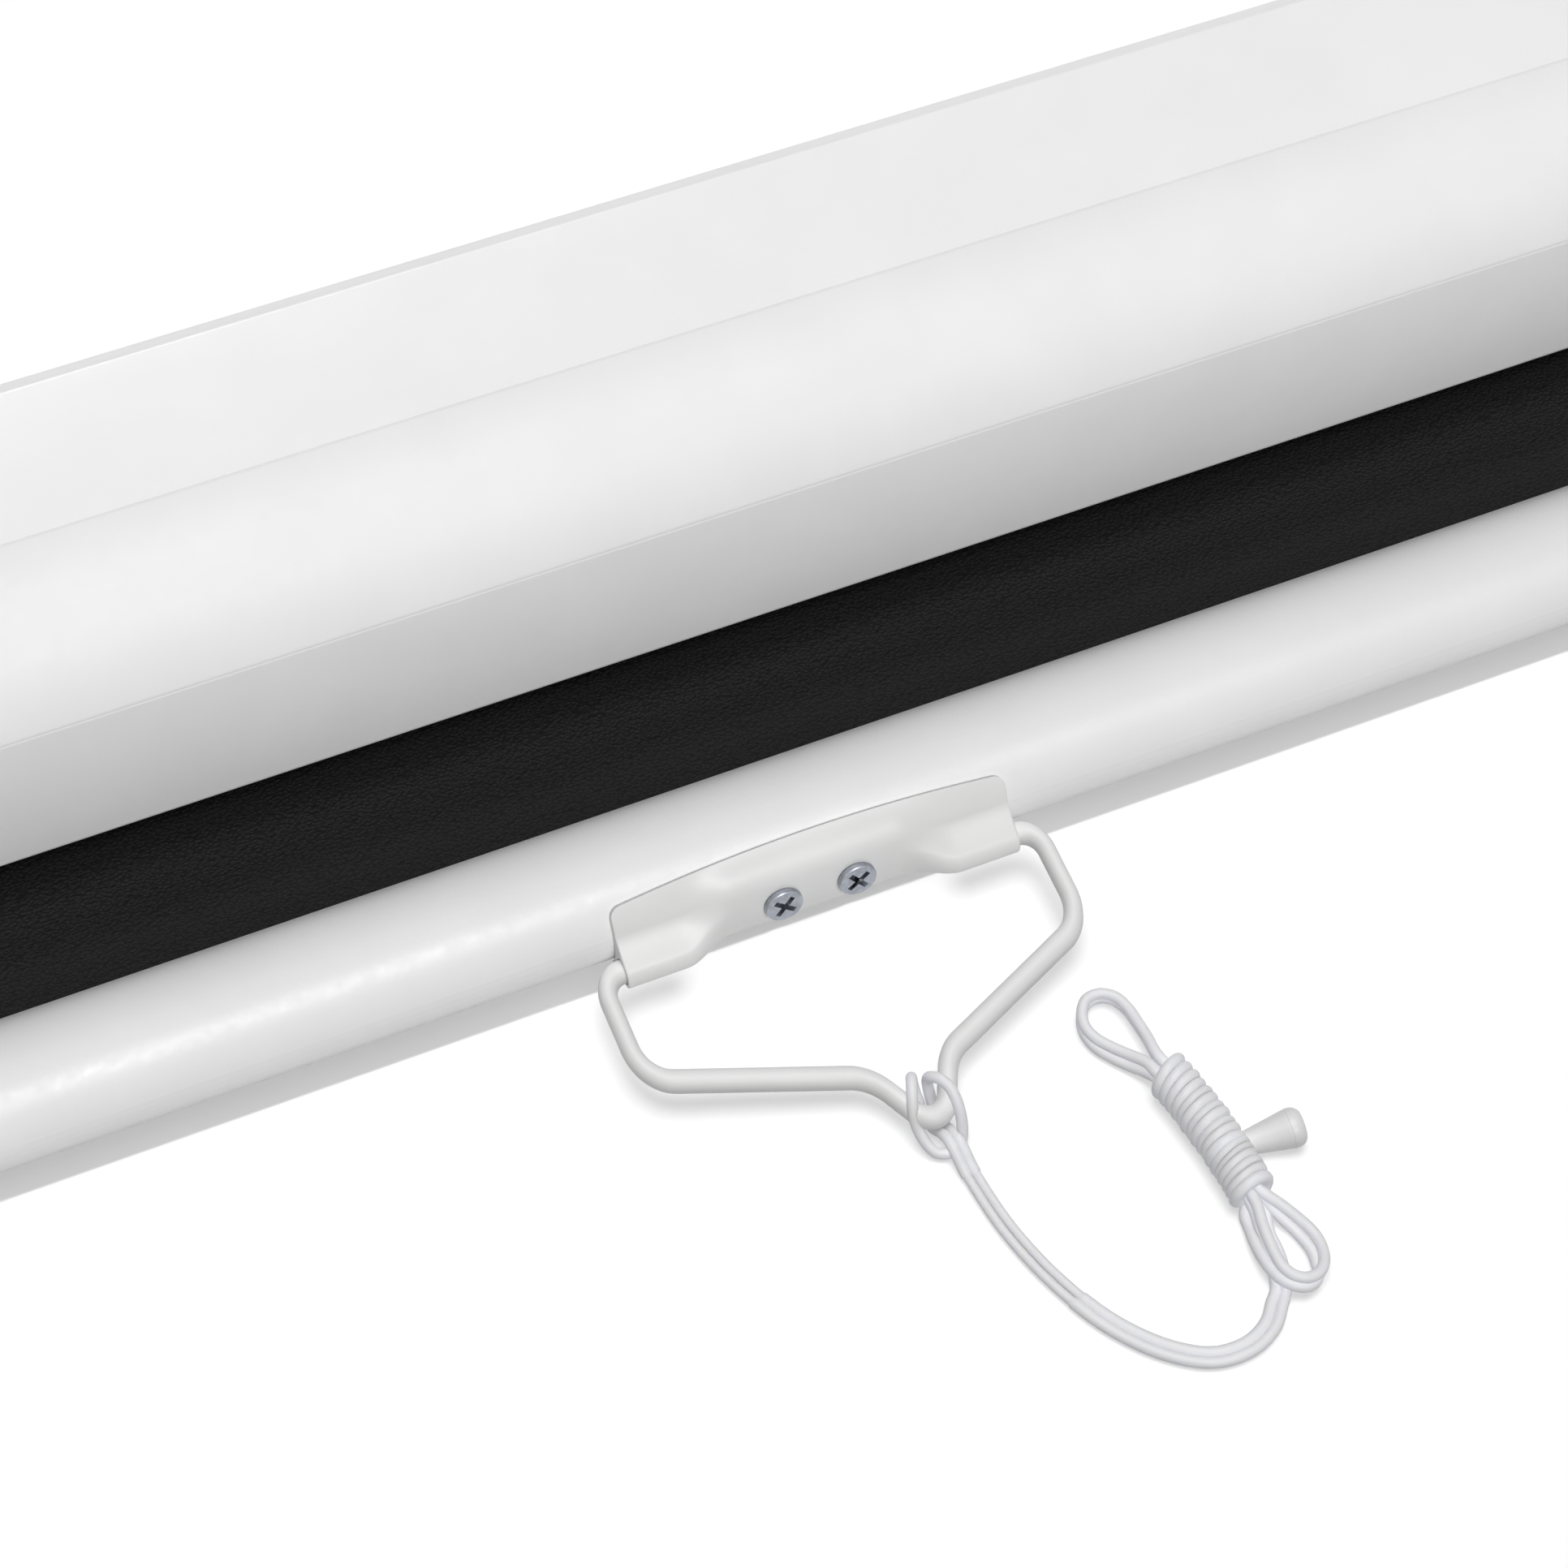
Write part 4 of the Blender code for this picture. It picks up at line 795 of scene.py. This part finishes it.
def outer_end():
    """Outer line of the clip's ends: along the bar, round the socket and back under to the bar."""
    edge = BAR_R + FIT + CLIP_EDGE_T
    hug = [bar_point(TOP_END + (HUG_TO - TOP_END) * i / HUG, edge + HUG_LIFT * i / HUG)
           for i in range(HUG + 1)]
    socket = ROD_R + FIT + SOCKET_WALL
    centre = Vector((PIVOT_Y, PIVOT_Z))
    ring = [centre + Vector((-socket * math.cos(a), socket * math.sin(a)))
            for a in (RING_FROM - (RING_FROM + math.pi / 2) * i / RING for i in range(RING + 1))]
    down = Vector((-math.sin(HUG_TO), -math.cos(HUG_TO)))
    leave = Vector((math.sin(RING_FROM), math.cos(RING_FROM)))
    gap = ring[0] - hug[-1]
    crossing = down[0] * leave[1] - down[1] * leave[0]
    corner = hug[-1] + down * ((gap[0] * leave[1] - gap[1] * leave[0]) / crossing)
    sweep = []
    for i in range(1, SWEEP):
        t = i / SWEEP
        sweep.append(hug[-1] * (1 - t) ** 2 + corner * 2 * t * (1 - t) + ring[0] * t * t)
    foot = bar_point(LOW_END, edge)
    under = [ring[-1] + (foot - ring[-1]) * i / UNDER for i in range(1, UNDER + 1)]
    return hug + sweep + ring + under


def clip_section(x, shrink=0.0):
    """The clip's closed section at x, between its middle and end shapes. shrink draws it in."""
    sweep = ease((abs(x) - SOCKET_FROM) / (SOCKET_TO - SOCKET_FROM))
    rise = (x / CLIP_HALF) ** 2
    outer = [m + (e - m) * sweep for m, e in zip(outer_middle(), outer_end())]
    into = max(0.0, abs(x) - (CLIP_HALF - CLIP_CORNER_R))
    corner = (CLIP_CORNER_R - math.sqrt(max(0.0, CLIP_CORNER_R ** 2 - into ** 2))) / BAR_R
    top = TOP_MID + (TOP_END - TOP_MID) * rise - corner
    low = LOW_MID + (LOW_END - LOW_MID) * sweep
    shift = bar_point(top, BAR_R + FIT + CLIP_EDGE_T) - outer[0]
    outer = [p + shift * (1 - i / EDGE_ROWS) if i < EDGE_ROWS else p for i, p in enumerate(outer)]
    inner = [bar_point(low + (top - low) * i / (INNER - 1), BAR_R + FIT) for i in range(INNER)]
    if shrink:
        moved = []
        for i, p in enumerate(outer):
            before, after = outer[max(i - 1, 0)], outer[min(i + 1, len(outer) - 1)]
            run = (after - before).normalized()
            moved.append(p + Vector((-run[1], run[0])) * -shrink)
        axis, half = Vector((BAR_Y, BAR_Z)), OUTER // 2
        toward = 1.0 if (moved[half] - axis).length < (outer[half] - axis).length else -1.0
        outer = [p + (m - p) * toward for p, m in zip(outer, moved)]
    return [Vector((x, p[0], p[1])) for p in outer + inner]


def screw_seat(side):
    """Where a clip screw's head meets the clip, left (-1) or right (1)."""
    y, z = bar_point(CLIP_SCREW_TILT, BAR_R + FIT + CLIP_MID_T + FIT)
    down = Vector((0.0, -math.sin(CLIP_SCREW_TILT), -math.cos(CLIP_SCREW_TILT)))
    return Vector((side * CLIP_SCREW_X, y, z)) + down * CLIP_SCREW_DROP


SOCKET_OVERCUT = 0.002
HOLE_R, HOLE_BEFORE, HOLE_L = 0.0022, 0.004, 0.018


def handle_clip():
    places = [0.0, 0.004, 0.008, 0.012, 0.015]
    places += [SOCKET_FROM + (SOCKET_TO - SOCKET_FROM) * i / 14 for i in range(15)]
    places += [0.0305, 0.034]
    places += [CLIP_HALF - CLIP_CORNER_R * k for k in (1.0, 0.8, 0.6, 0.45, 0.3, 0.2)]
    # The last stations draw the section in, which rounds the end's edge
    ends = [(CLIP_HALF - 0.00030, 0.0), (CLIP_HALF - 0.00016, 0.00004),
            (CLIP_HALF - 0.00005, 0.00013), (CLIP_HALF, 0.00028)]
    stations = [(x, 0.0) for x in places] + ends
    stations = [(-x, s) for x, s in reversed(stations[1:])] + stations
    rings = [clip_section(x, s) for x, s in stations]
    verts = [p for ring in rings for p in ring]
    clip = tidy(mesh_object("clip", verts, ring_faces(len(rings), len(rings[0]))))
    cutters = []
    for side in (-1, 1):
        mouth = Vector((side * (CLIP_HALF + SOCKET_OVERCUT), PIVOT_Y, PIVOT_Z))
        cutters.append(cylinder("socket", mouth, Vector((-side, 0.0, 0.0)),
                                SOCKET_OVERCUT + SOCKET_DEPTH, ROD_R + FIT))
        above = screw_seat(side) - SCREW_WAY * HOLE_BEFORE
        cutters.append(cylinder("hole", above, SCREW_WAY, HOLE_L, HOLE_R))
    cut(clip, cutters)
    tidy(clip, 32)
    dress(clip, CLIP_WHITE)
    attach(clip, "bottom_bar")
    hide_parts("handle_clip")
    return clip


# Screws. A head's three sizes are its height, and how far its rim rounds in and down. The recess is
# cut from its top to its bottom, each a height over the head and half of its length and width.
HEAD_R, SHANK_R = 0.0036, 0.0019
PAN, FLAT = (0.0023, 0.0011, 0.0020), (0.0012, 0.00025, 0.00032)
RECESS = ((0.0004, 0.00258, 0.00054), (-0.0018, 0.00180, 0.00048))
BLOCK_SIDES = [(0, 1, 2, 3), (7, 6, 5, 4), (0, 4, 5, 1), (1, 5, 6, 2), (2, 6, 7, 3), (3, 7, 4, 0)]


def screw(name, seat, way, length, turn, node, body, head):
    """Screw that goes way from its seat, with a cross recess at angle turn."""
    way = Vector(way).normalized()
    head_h, inward, down = head
    rows = [(length, 0.0002), (length - 0.0002, SHANK_R * 0.5), (length - SHANK_R, SHANK_R),
            (0.0, SHANK_R), (0.0, HEAD_R - 0.0001), (-0.00012, HEAD_R), (-(head_h - down), HEAD_R)]
    for k in range(1, 8):
        a = math.radians(90 * k / 7)
        rows.append((-(head_h - down) - down * math.sin(a), HEAD_R - inward * (1 - math.cos(a))))
    rows += [(-head_h - 0.00004, (HEAD_R - inward) * 0.6), (-head_h - 0.00006, 0.0002)]
    obj = revolve(name, rows, seat, way, 56)
    side = Vector((1.0, 0.0, 0.0)) if abs(way[0]) < 0.9 else Vector((0.0, 1.0, 0.0))
    side = (side - way * side.dot(way)).normalized()
    cutters = []
    for quarter in (0, 90):
        u = Matrix.Rotation(math.radians(turn + quarter), 3, way) @ side
        v = way.cross(u)
        corners = []
        for over, half_u, half_v in RECESS:
            place = seat - way * (head_h + over)
            for a, b in ((-1, -1), (1, -1), (1, 1), (-1, 1)):
                corners.append(place + u * half_u * a + v * half_v * b)
        cutters.append(tidy(mesh_object("slot", corners, BLOCK_SIDES)))
    cut(obj, cutters)
    tidy(obj, 38)
    dress(obj, ZINC)
    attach(obj, body)
    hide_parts(node)
    return obj


CLIP_SCREW_L, CLIP_TURNS = 0.0105, (40, 52)
BOLT_Y, BOLT_Z, BOLT_L, BOLT_TURNS = 0.014, 0.052, 0.010, (65, 105)

wire_obj = pull_handle()
clip_obj = handle_clip()
clip_screws = []
SIDES = ((-1, "left"), (1, "right"))
for number, (side, word) in enumerate(SIDES):
    node = "clip_screw_%d" % (number + 1)
    clip_screws.append(screw("clip_screw_" + word, screw_seat(side), SCREW_WAY, CLIP_SCREW_L,
                             CLIP_TURNS[number], node, "bottom_bar", FLAT))
for side, word in SIDES:
    for number, y in enumerate((-BOLT_Y, BOLT_Y)):
        node = "bracket_screw_%s_%d" % (word, number + 1)
        low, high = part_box(node)
        outside = high[0] if side > 0 else -low[0]
        seat = Vector((side * outside - side * PAN[0], y, BOLT_Z))
        screw("bolt_%s_%d" % (word, number + 1), seat, (-side, 0.0, 0.0), BOLT_L,
              BOLT_TURNS[number], node, "case", PAN)


# Screen cloth: the roll on the roller and the run to the bar

CLOTH_T, CLOTH_W, CLOTH_L = 0.0004, 2.274, 1.595
SIDE_BORDER, BOTTOM_BORDER, PICTURE_H = 0.030, 0.050, 1.245
ROLLER_Z, ROLL_R, TUBE_R = 0.034851, 0.021651, 0.0163
HEM_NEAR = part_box("screen_sheet")[0][1]
COLUMNS = (-CLOTH_W / 2, -CLOTH_W / 2 + SIDE_BORDER, CLOTH_W / 2 - SIDE_BORDER, CLOTH_W / 2)
RUN_Z = 0.0127
WAVE_UP, WAVE_SAG, WAVE_L, WAVE_FROM = 0.00022, 0.0001, 0.0135, -0.031
BLEND_FROM, BLEND_TO = -0.0010, -0.0120
BLEND_ROWS, HEM_ROWS, TURN_ROWS = 160, 70, 40
NEAR_BY = 0.0002


def cloth(name, line, dark):
    """A strip of cloth along line, a list of (y, z, ny, nz), closed round its edges.

    dark(i) says that its face is black all the way across after row i.
    """
    verts, faces, looks = [], [], []
    for y, z, ny, nz in line:
        for half in (CLOTH_T / 2, -CLOTH_T / 2):
            for x in COLUMNS:
                verts.append((x, y + ny * half, z + nz * half))
    row = 2 * len(COLUMNS)
    for i in range(len(line) - 1):
        a, b = i * row, (i + 1) * row
        for c in range(3):
            faces.append((a + c, a + c + 1, b + c + 1, b + c))
            looks.append(1 if c == 1 and not dark(i) else 0)
            faces.append((b + 4 + c, b + 5 + c, a + 5 + c, a + 4 + c))
            looks.append(0)
        faces.append((a, b, b + 4, a + 4))
        faces.append((b + 3, a + 3, a + 7, b + 7))
        looks += [0, 0]
    last = (len(line) - 1) * row
    for c in range(3):
        faces.append((c + 1, c, c + 4, c + 5))
        faces.append((last + c, last + c + 1, last + c + 5, last + c + 4))
        looks += [0, 0]
    obj = mesh_object(name, verts, faces)
    obj.data.materials.append(BLACK)
    obj.data.materials.append(SCREEN)
    for polygon, look in zip(obj.data.polygons, looks):
        polygon.material_index = look
    tidy(obj, 50)
    return obj


def run_height(y):
    """Slight lengthwise waves of the cloth between the case and the bar."""
    out = ease((BLEND_TO - y) / -BLEND_TO) * ease((y - HEM_NEAR - 0.004) / 0.006)
    wave = WAVE_UP * math.sin((y - WAVE_FROM) * 2 * math.pi / WAVE_L)
    return RUN_Z + out * (wave - WAVE_SAG)


def pulled(y):
    """Where a place of the run comes to when the screen is pulled all the way down."""
    w = ease((BLEND_FROM - y) / (BLEND_FROM - BLEND_TO))
    return y - PICTURE_H * w


rows = [0.0, BLEND_FROM]
rows += [BLEND_FROM + (BLEND_TO - BLEND_FROM) * k / BLEND_ROWS for k in range(1, BLEND_ROWS + 1)]
rows += [BLEND_TO + (HEM_NEAR - BLEND_TO) * k / HEM_ROWS for k in range(1, HEM_ROWS + 1)]
run_line = []
for y in rows:
    slope = (run_height(y - NEAR_BY) - run_height(y + NEAR_BY)) / (2 * NEAR_BY)
    normal = Vector((slope, 1.0)).normalized()
    run_line.append((y, run_height(y), normal[0], normal[1]))
picture_low = HEM_NEAR - PICTURE_H + BOTTOM_BORDER


def run_is_dark(i):
    return not picture_low < pulled((rows[i] + rows[i + 1]) / 2) < picture_low + PICTURE_H


run = cloth("screen_run", run_line, run_is_dark)

run_length = -HEM_NEAR
roll_length = CLOTH_L - run_length
turns = roll_length / (math.pi * (ROLL_R + TUBE_R))
roll_out, roll_in = ROLL_R - CLOTH_T / 2, TUBE_R + CLOTH_T / 2
roll_rows = int(turns * TURN_ROWS)
roll_line = []
for i in range(roll_rows + 1):
    share = i / roll_rows
    radius = roll_out + (roll_in - roll_out) * share
    angle = -math.pi / 2 - 2 * math.pi * turns * share
    ny, nz = math.cos(angle), math.sin(angle)
    roll_line.append((radius * ny, ROLLER_Z + radius * nz, -ny, -nz))
white_to = int(roll_rows * (PICTURE_H + BOTTOM_BORDER - run_length) / roll_length)
roll = cloth("screen_roll_cloth", roll_line, lambda i: i > white_to)
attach(roll, "roller")
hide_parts("screen_roll")
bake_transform(run)
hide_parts("screen_sheet")


# Finishes of the nodes that stay

WELD, SHARP_FROM = 0.000002, math.radians(28)


def softened():
    """Geometry nodes that weld a mesh's split corners, and shade it smooth between sharp edges."""
    group = bpy.data.node_groups.new("softened", "GeometryNodeTree")
    group.interface.new_socket("Geometry", in_out="INPUT", socket_type="NodeSocketGeometry")
    group.interface.new_socket("Geometry", in_out="OUTPUT", socket_type="NodeSocketGeometry")
    make = group.nodes.new
    start, stop = make("NodeGroupInput"), make("NodeGroupOutput")
    weld = make("GeometryNodeMergeByDistance")
    weld.inputs["Distance"].default_value = WELD
    whole = make("GeometryNodeSetShadeSmooth")
    sharp = make("GeometryNodeSetShadeSmooth")
    sharp.domain = "EDGE"
    sharp.inputs["Shade Smooth"].default_value = False
    angle = make("GeometryNodeInputMeshEdgeAngle")
    compare = make("FunctionNodeCompare")
    compare.operation = "GREATER_THAN"
    compare.inputs["B"].default_value = SHARP_FROM
    to = group.links.new
    to(start.outputs[0], weld.inputs["Geometry"])
    to(weld.outputs["Geometry"], whole.inputs["Geometry"])
    to(whole.outputs["Geometry"], sharp.inputs["Geometry"])
    to(angle.outputs["Unsigned Angle"], compare.inputs["A"])
    to(compare.outputs["Result"], sharp.inputs["Selection"])
    to(sharp.outputs["Geometry"], stop.inputs[0])
    return group


SOFTENED = softened()
LOOKS = {"white_paint": PAINT, "white_plastic": CAP_WHITE, "zinc_steel": STEEL,
         "screen_fabric": SCREEN, "black_fabric": BLACK, "grey_nylon": NYLON,
         "spring_steel": SPRING, "white_coating": WIRE_WHITE, "cord_nylon": CORD}
NODE_LOOKS = {"wall_bracket_left": ZINC, "wall_bracket_right": ZINC, "case_shell": CASE_PAINT}
for row in frame["record"]["subparts"]:
    obj = nodes[row["node"]]
    if obj.hide_render:
        continue
    dress(obj, NODE_LOOKS.get(obj.name, LOOKS[row["material_slot"]]))
    step = obj.modifiers.new("softened", "NODES")
    step.node_group = SOFTENED


# Floor and light

def seen_directly(tree):
    """1 for rays from the camera and those through gloss and glass, else 0."""
    rays = tree.nodes.new("ShaderNodeLightPath")
    value = rays.outputs["Is Camera Ray"]
    for other in ("Is Glossy Ray", "Is Transmission Ray"):
        both = tree.nodes.new("ShaderNodeMath")
        both.operation = "MAXIMUM"
        tree.links.new(value, both.inputs[0])
        tree.links.new(rays.outputs[other], both.inputs[1])
        value = both.outputs["Value"]
    return value


FLOOR_SEEN, FLOOR_BOUNCE = 0.86, 0.33
FLOOR_HALF, FLOOR_Z = 6.0, -0.0002


def floor():
    """White floor that throws less light back on the object than it shows."""
    corners = [(x * FLOOR_HALF, y * FLOOR_HALF, FLOOR_Z)
               for x, y in ((-1, -1), (1, -1), (1, 1), (-1, 1))]
    obj = mesh_object("floor", corners, [(0, 1, 2, 3)], smooth=False)
    made = bpy.data.materials.new("floor_white")
    made.use_nodes = True
    tree = made.node_tree
    tree.nodes.clear()
    make, to = tree.nodes.new, tree.links.new
    colour = make("ShaderNodeMix")
    colour.data_type = "RGBA"
    colour.inputs["A"].default_value = (*grey(FLOOR_BOUNCE), 1.0)
    colour.inputs["B"].default_value = (*grey(FLOOR_SEEN), 1.0)
    diffuse, end = make("ShaderNodeBsdfDiffuse"), make("ShaderNodeOutputMaterial")
    to(seen_directly(tree), colour.inputs["Factor"])
    to(colour.outputs["Result"], diffuse.inputs["Color"])
    to(diffuse.outputs["BSDF"], end.inputs["Surface"])
    obj.data.materials.append(made)
    return obj


floor_obj = floor()


def link_group(name, objects, state="INCLUDE"):
    """A light-linking collection: only these objects, or with EXCLUDE all the others."""
    group = bpy.data.collections.new(name)
    for obj in objects:
        group.objects.link(obj)
    for row in group.collection_objects:
        row.light_linking.link_state = state
    return group


def lamp(name, tilt, spread, strength, lights=None, shadows=None, glint=True):
    """Soft far lamp at tilt degrees from overhead toward -Y, spread degrees across.

    White paint that faces a lamp of strength 1 shows as full white. lights is the group that it
    lights, and shadows the group that casts its shadows.
    """
    data = bpy.data.lights.new(name, "SUN")
    data.angle = math.radians(spread)
    data.energy = strength * math.pi / PAINT_WHITE
    obj = bpy.data.objects.new(name, data)
    scene.collection.objects.link(obj)
    obj.rotation_euler = (math.radians(tilt), 0.0, 0.0)
    obj.light_linking.receiver_collection = lights
    obj.light_linking.blocker_collection = shadows
    obj.visible_glossy = glint
    return obj


# In the photo the case, the bar, the handle with its cord, and the floor are each lit differently,
# so each has its own lamps. The shadow under the bar is crisp and the others are soft.
cords = [cord_a, cord_b]
thin = cords + [knob_obj, wire_obj]
clip_set = [clip_obj] + clip_screws
bar_set = [nodes[n] for n in ("bottom_tube", "bar_cap_left", "bar_cap_right")]
HIGH = link_group("case_pieces", thin + clip_set + bar_set + [floor_obj], "EXCLUDE")
LOW = link_group("bar_pieces", clip_set + bar_set)
THIN = link_group("thin_pieces", thin)
GROUND = link_group("ground", [floor_obj])
BESIDE_CORDS = link_group("all_but_cords", cords, "EXCLUDE")
LARGE = link_group("large_pieces", thin + clip_set, "EXCLUDE")
SMALL = link_group("small_pieces", thin + clip_set)

lamp("case_over", 0.0, 40.0, 0.08, lights=HIGH)
lamp("case_front", 30.0, 16.0, 0.42, lights=HIGH, glint=False)
lamp("case_glint", 30.0, 30.0, 0.20, lights=HIGH)
lamp("case_low_front", 62.0, 16.0, 0.13, lights=HIGH)
lamp("case_back", -66.0, 20.0, 0.35, lights=HIGH)
lamp("bar_over", 0.0, 40.0, 0.17, lights=LOW)
lamp("bar_front", 44.0, 18.0, 0.58, lights=LOW)
lamp("thin_over", 0.0, 40.0, 0.35, lights=THIN, shadows=BESIDE_CORDS)
lamp("thin_depth", 0.0, 60.0, 0.20, lights=THIN)
lamp("thin_front", 44.0, 18.0, 0.24, lights=THIN, shadows=BESIDE_CORDS)
lamp("floor_over", 0.0, 3.0, 0.45, lights=GROUND, shadows=LARGE)
lamp("floor_soft", 0.0, 34.0, 0.36, lights=GROUND, shadows=THIN)
lamp("floor_wide", 0.0, 75.0, 0.18, lights=GROUND, shadows=SMALL)

# The world is white where it is seen, and lights nothing
world = bpy.data.worlds.new("world")
scene.world = world
world.use_nodes = True
tree = world.node_tree
background = tree.nodes["Background"]
background.inputs["Color"].default_value = (1.0, 1.0, 1.0, 1.0)
tree.links.new(seen_directly(tree), background.inputs["Strength"])
scene.view_settings.view_transform = "Standard"

bpy.context.view_layer.update()
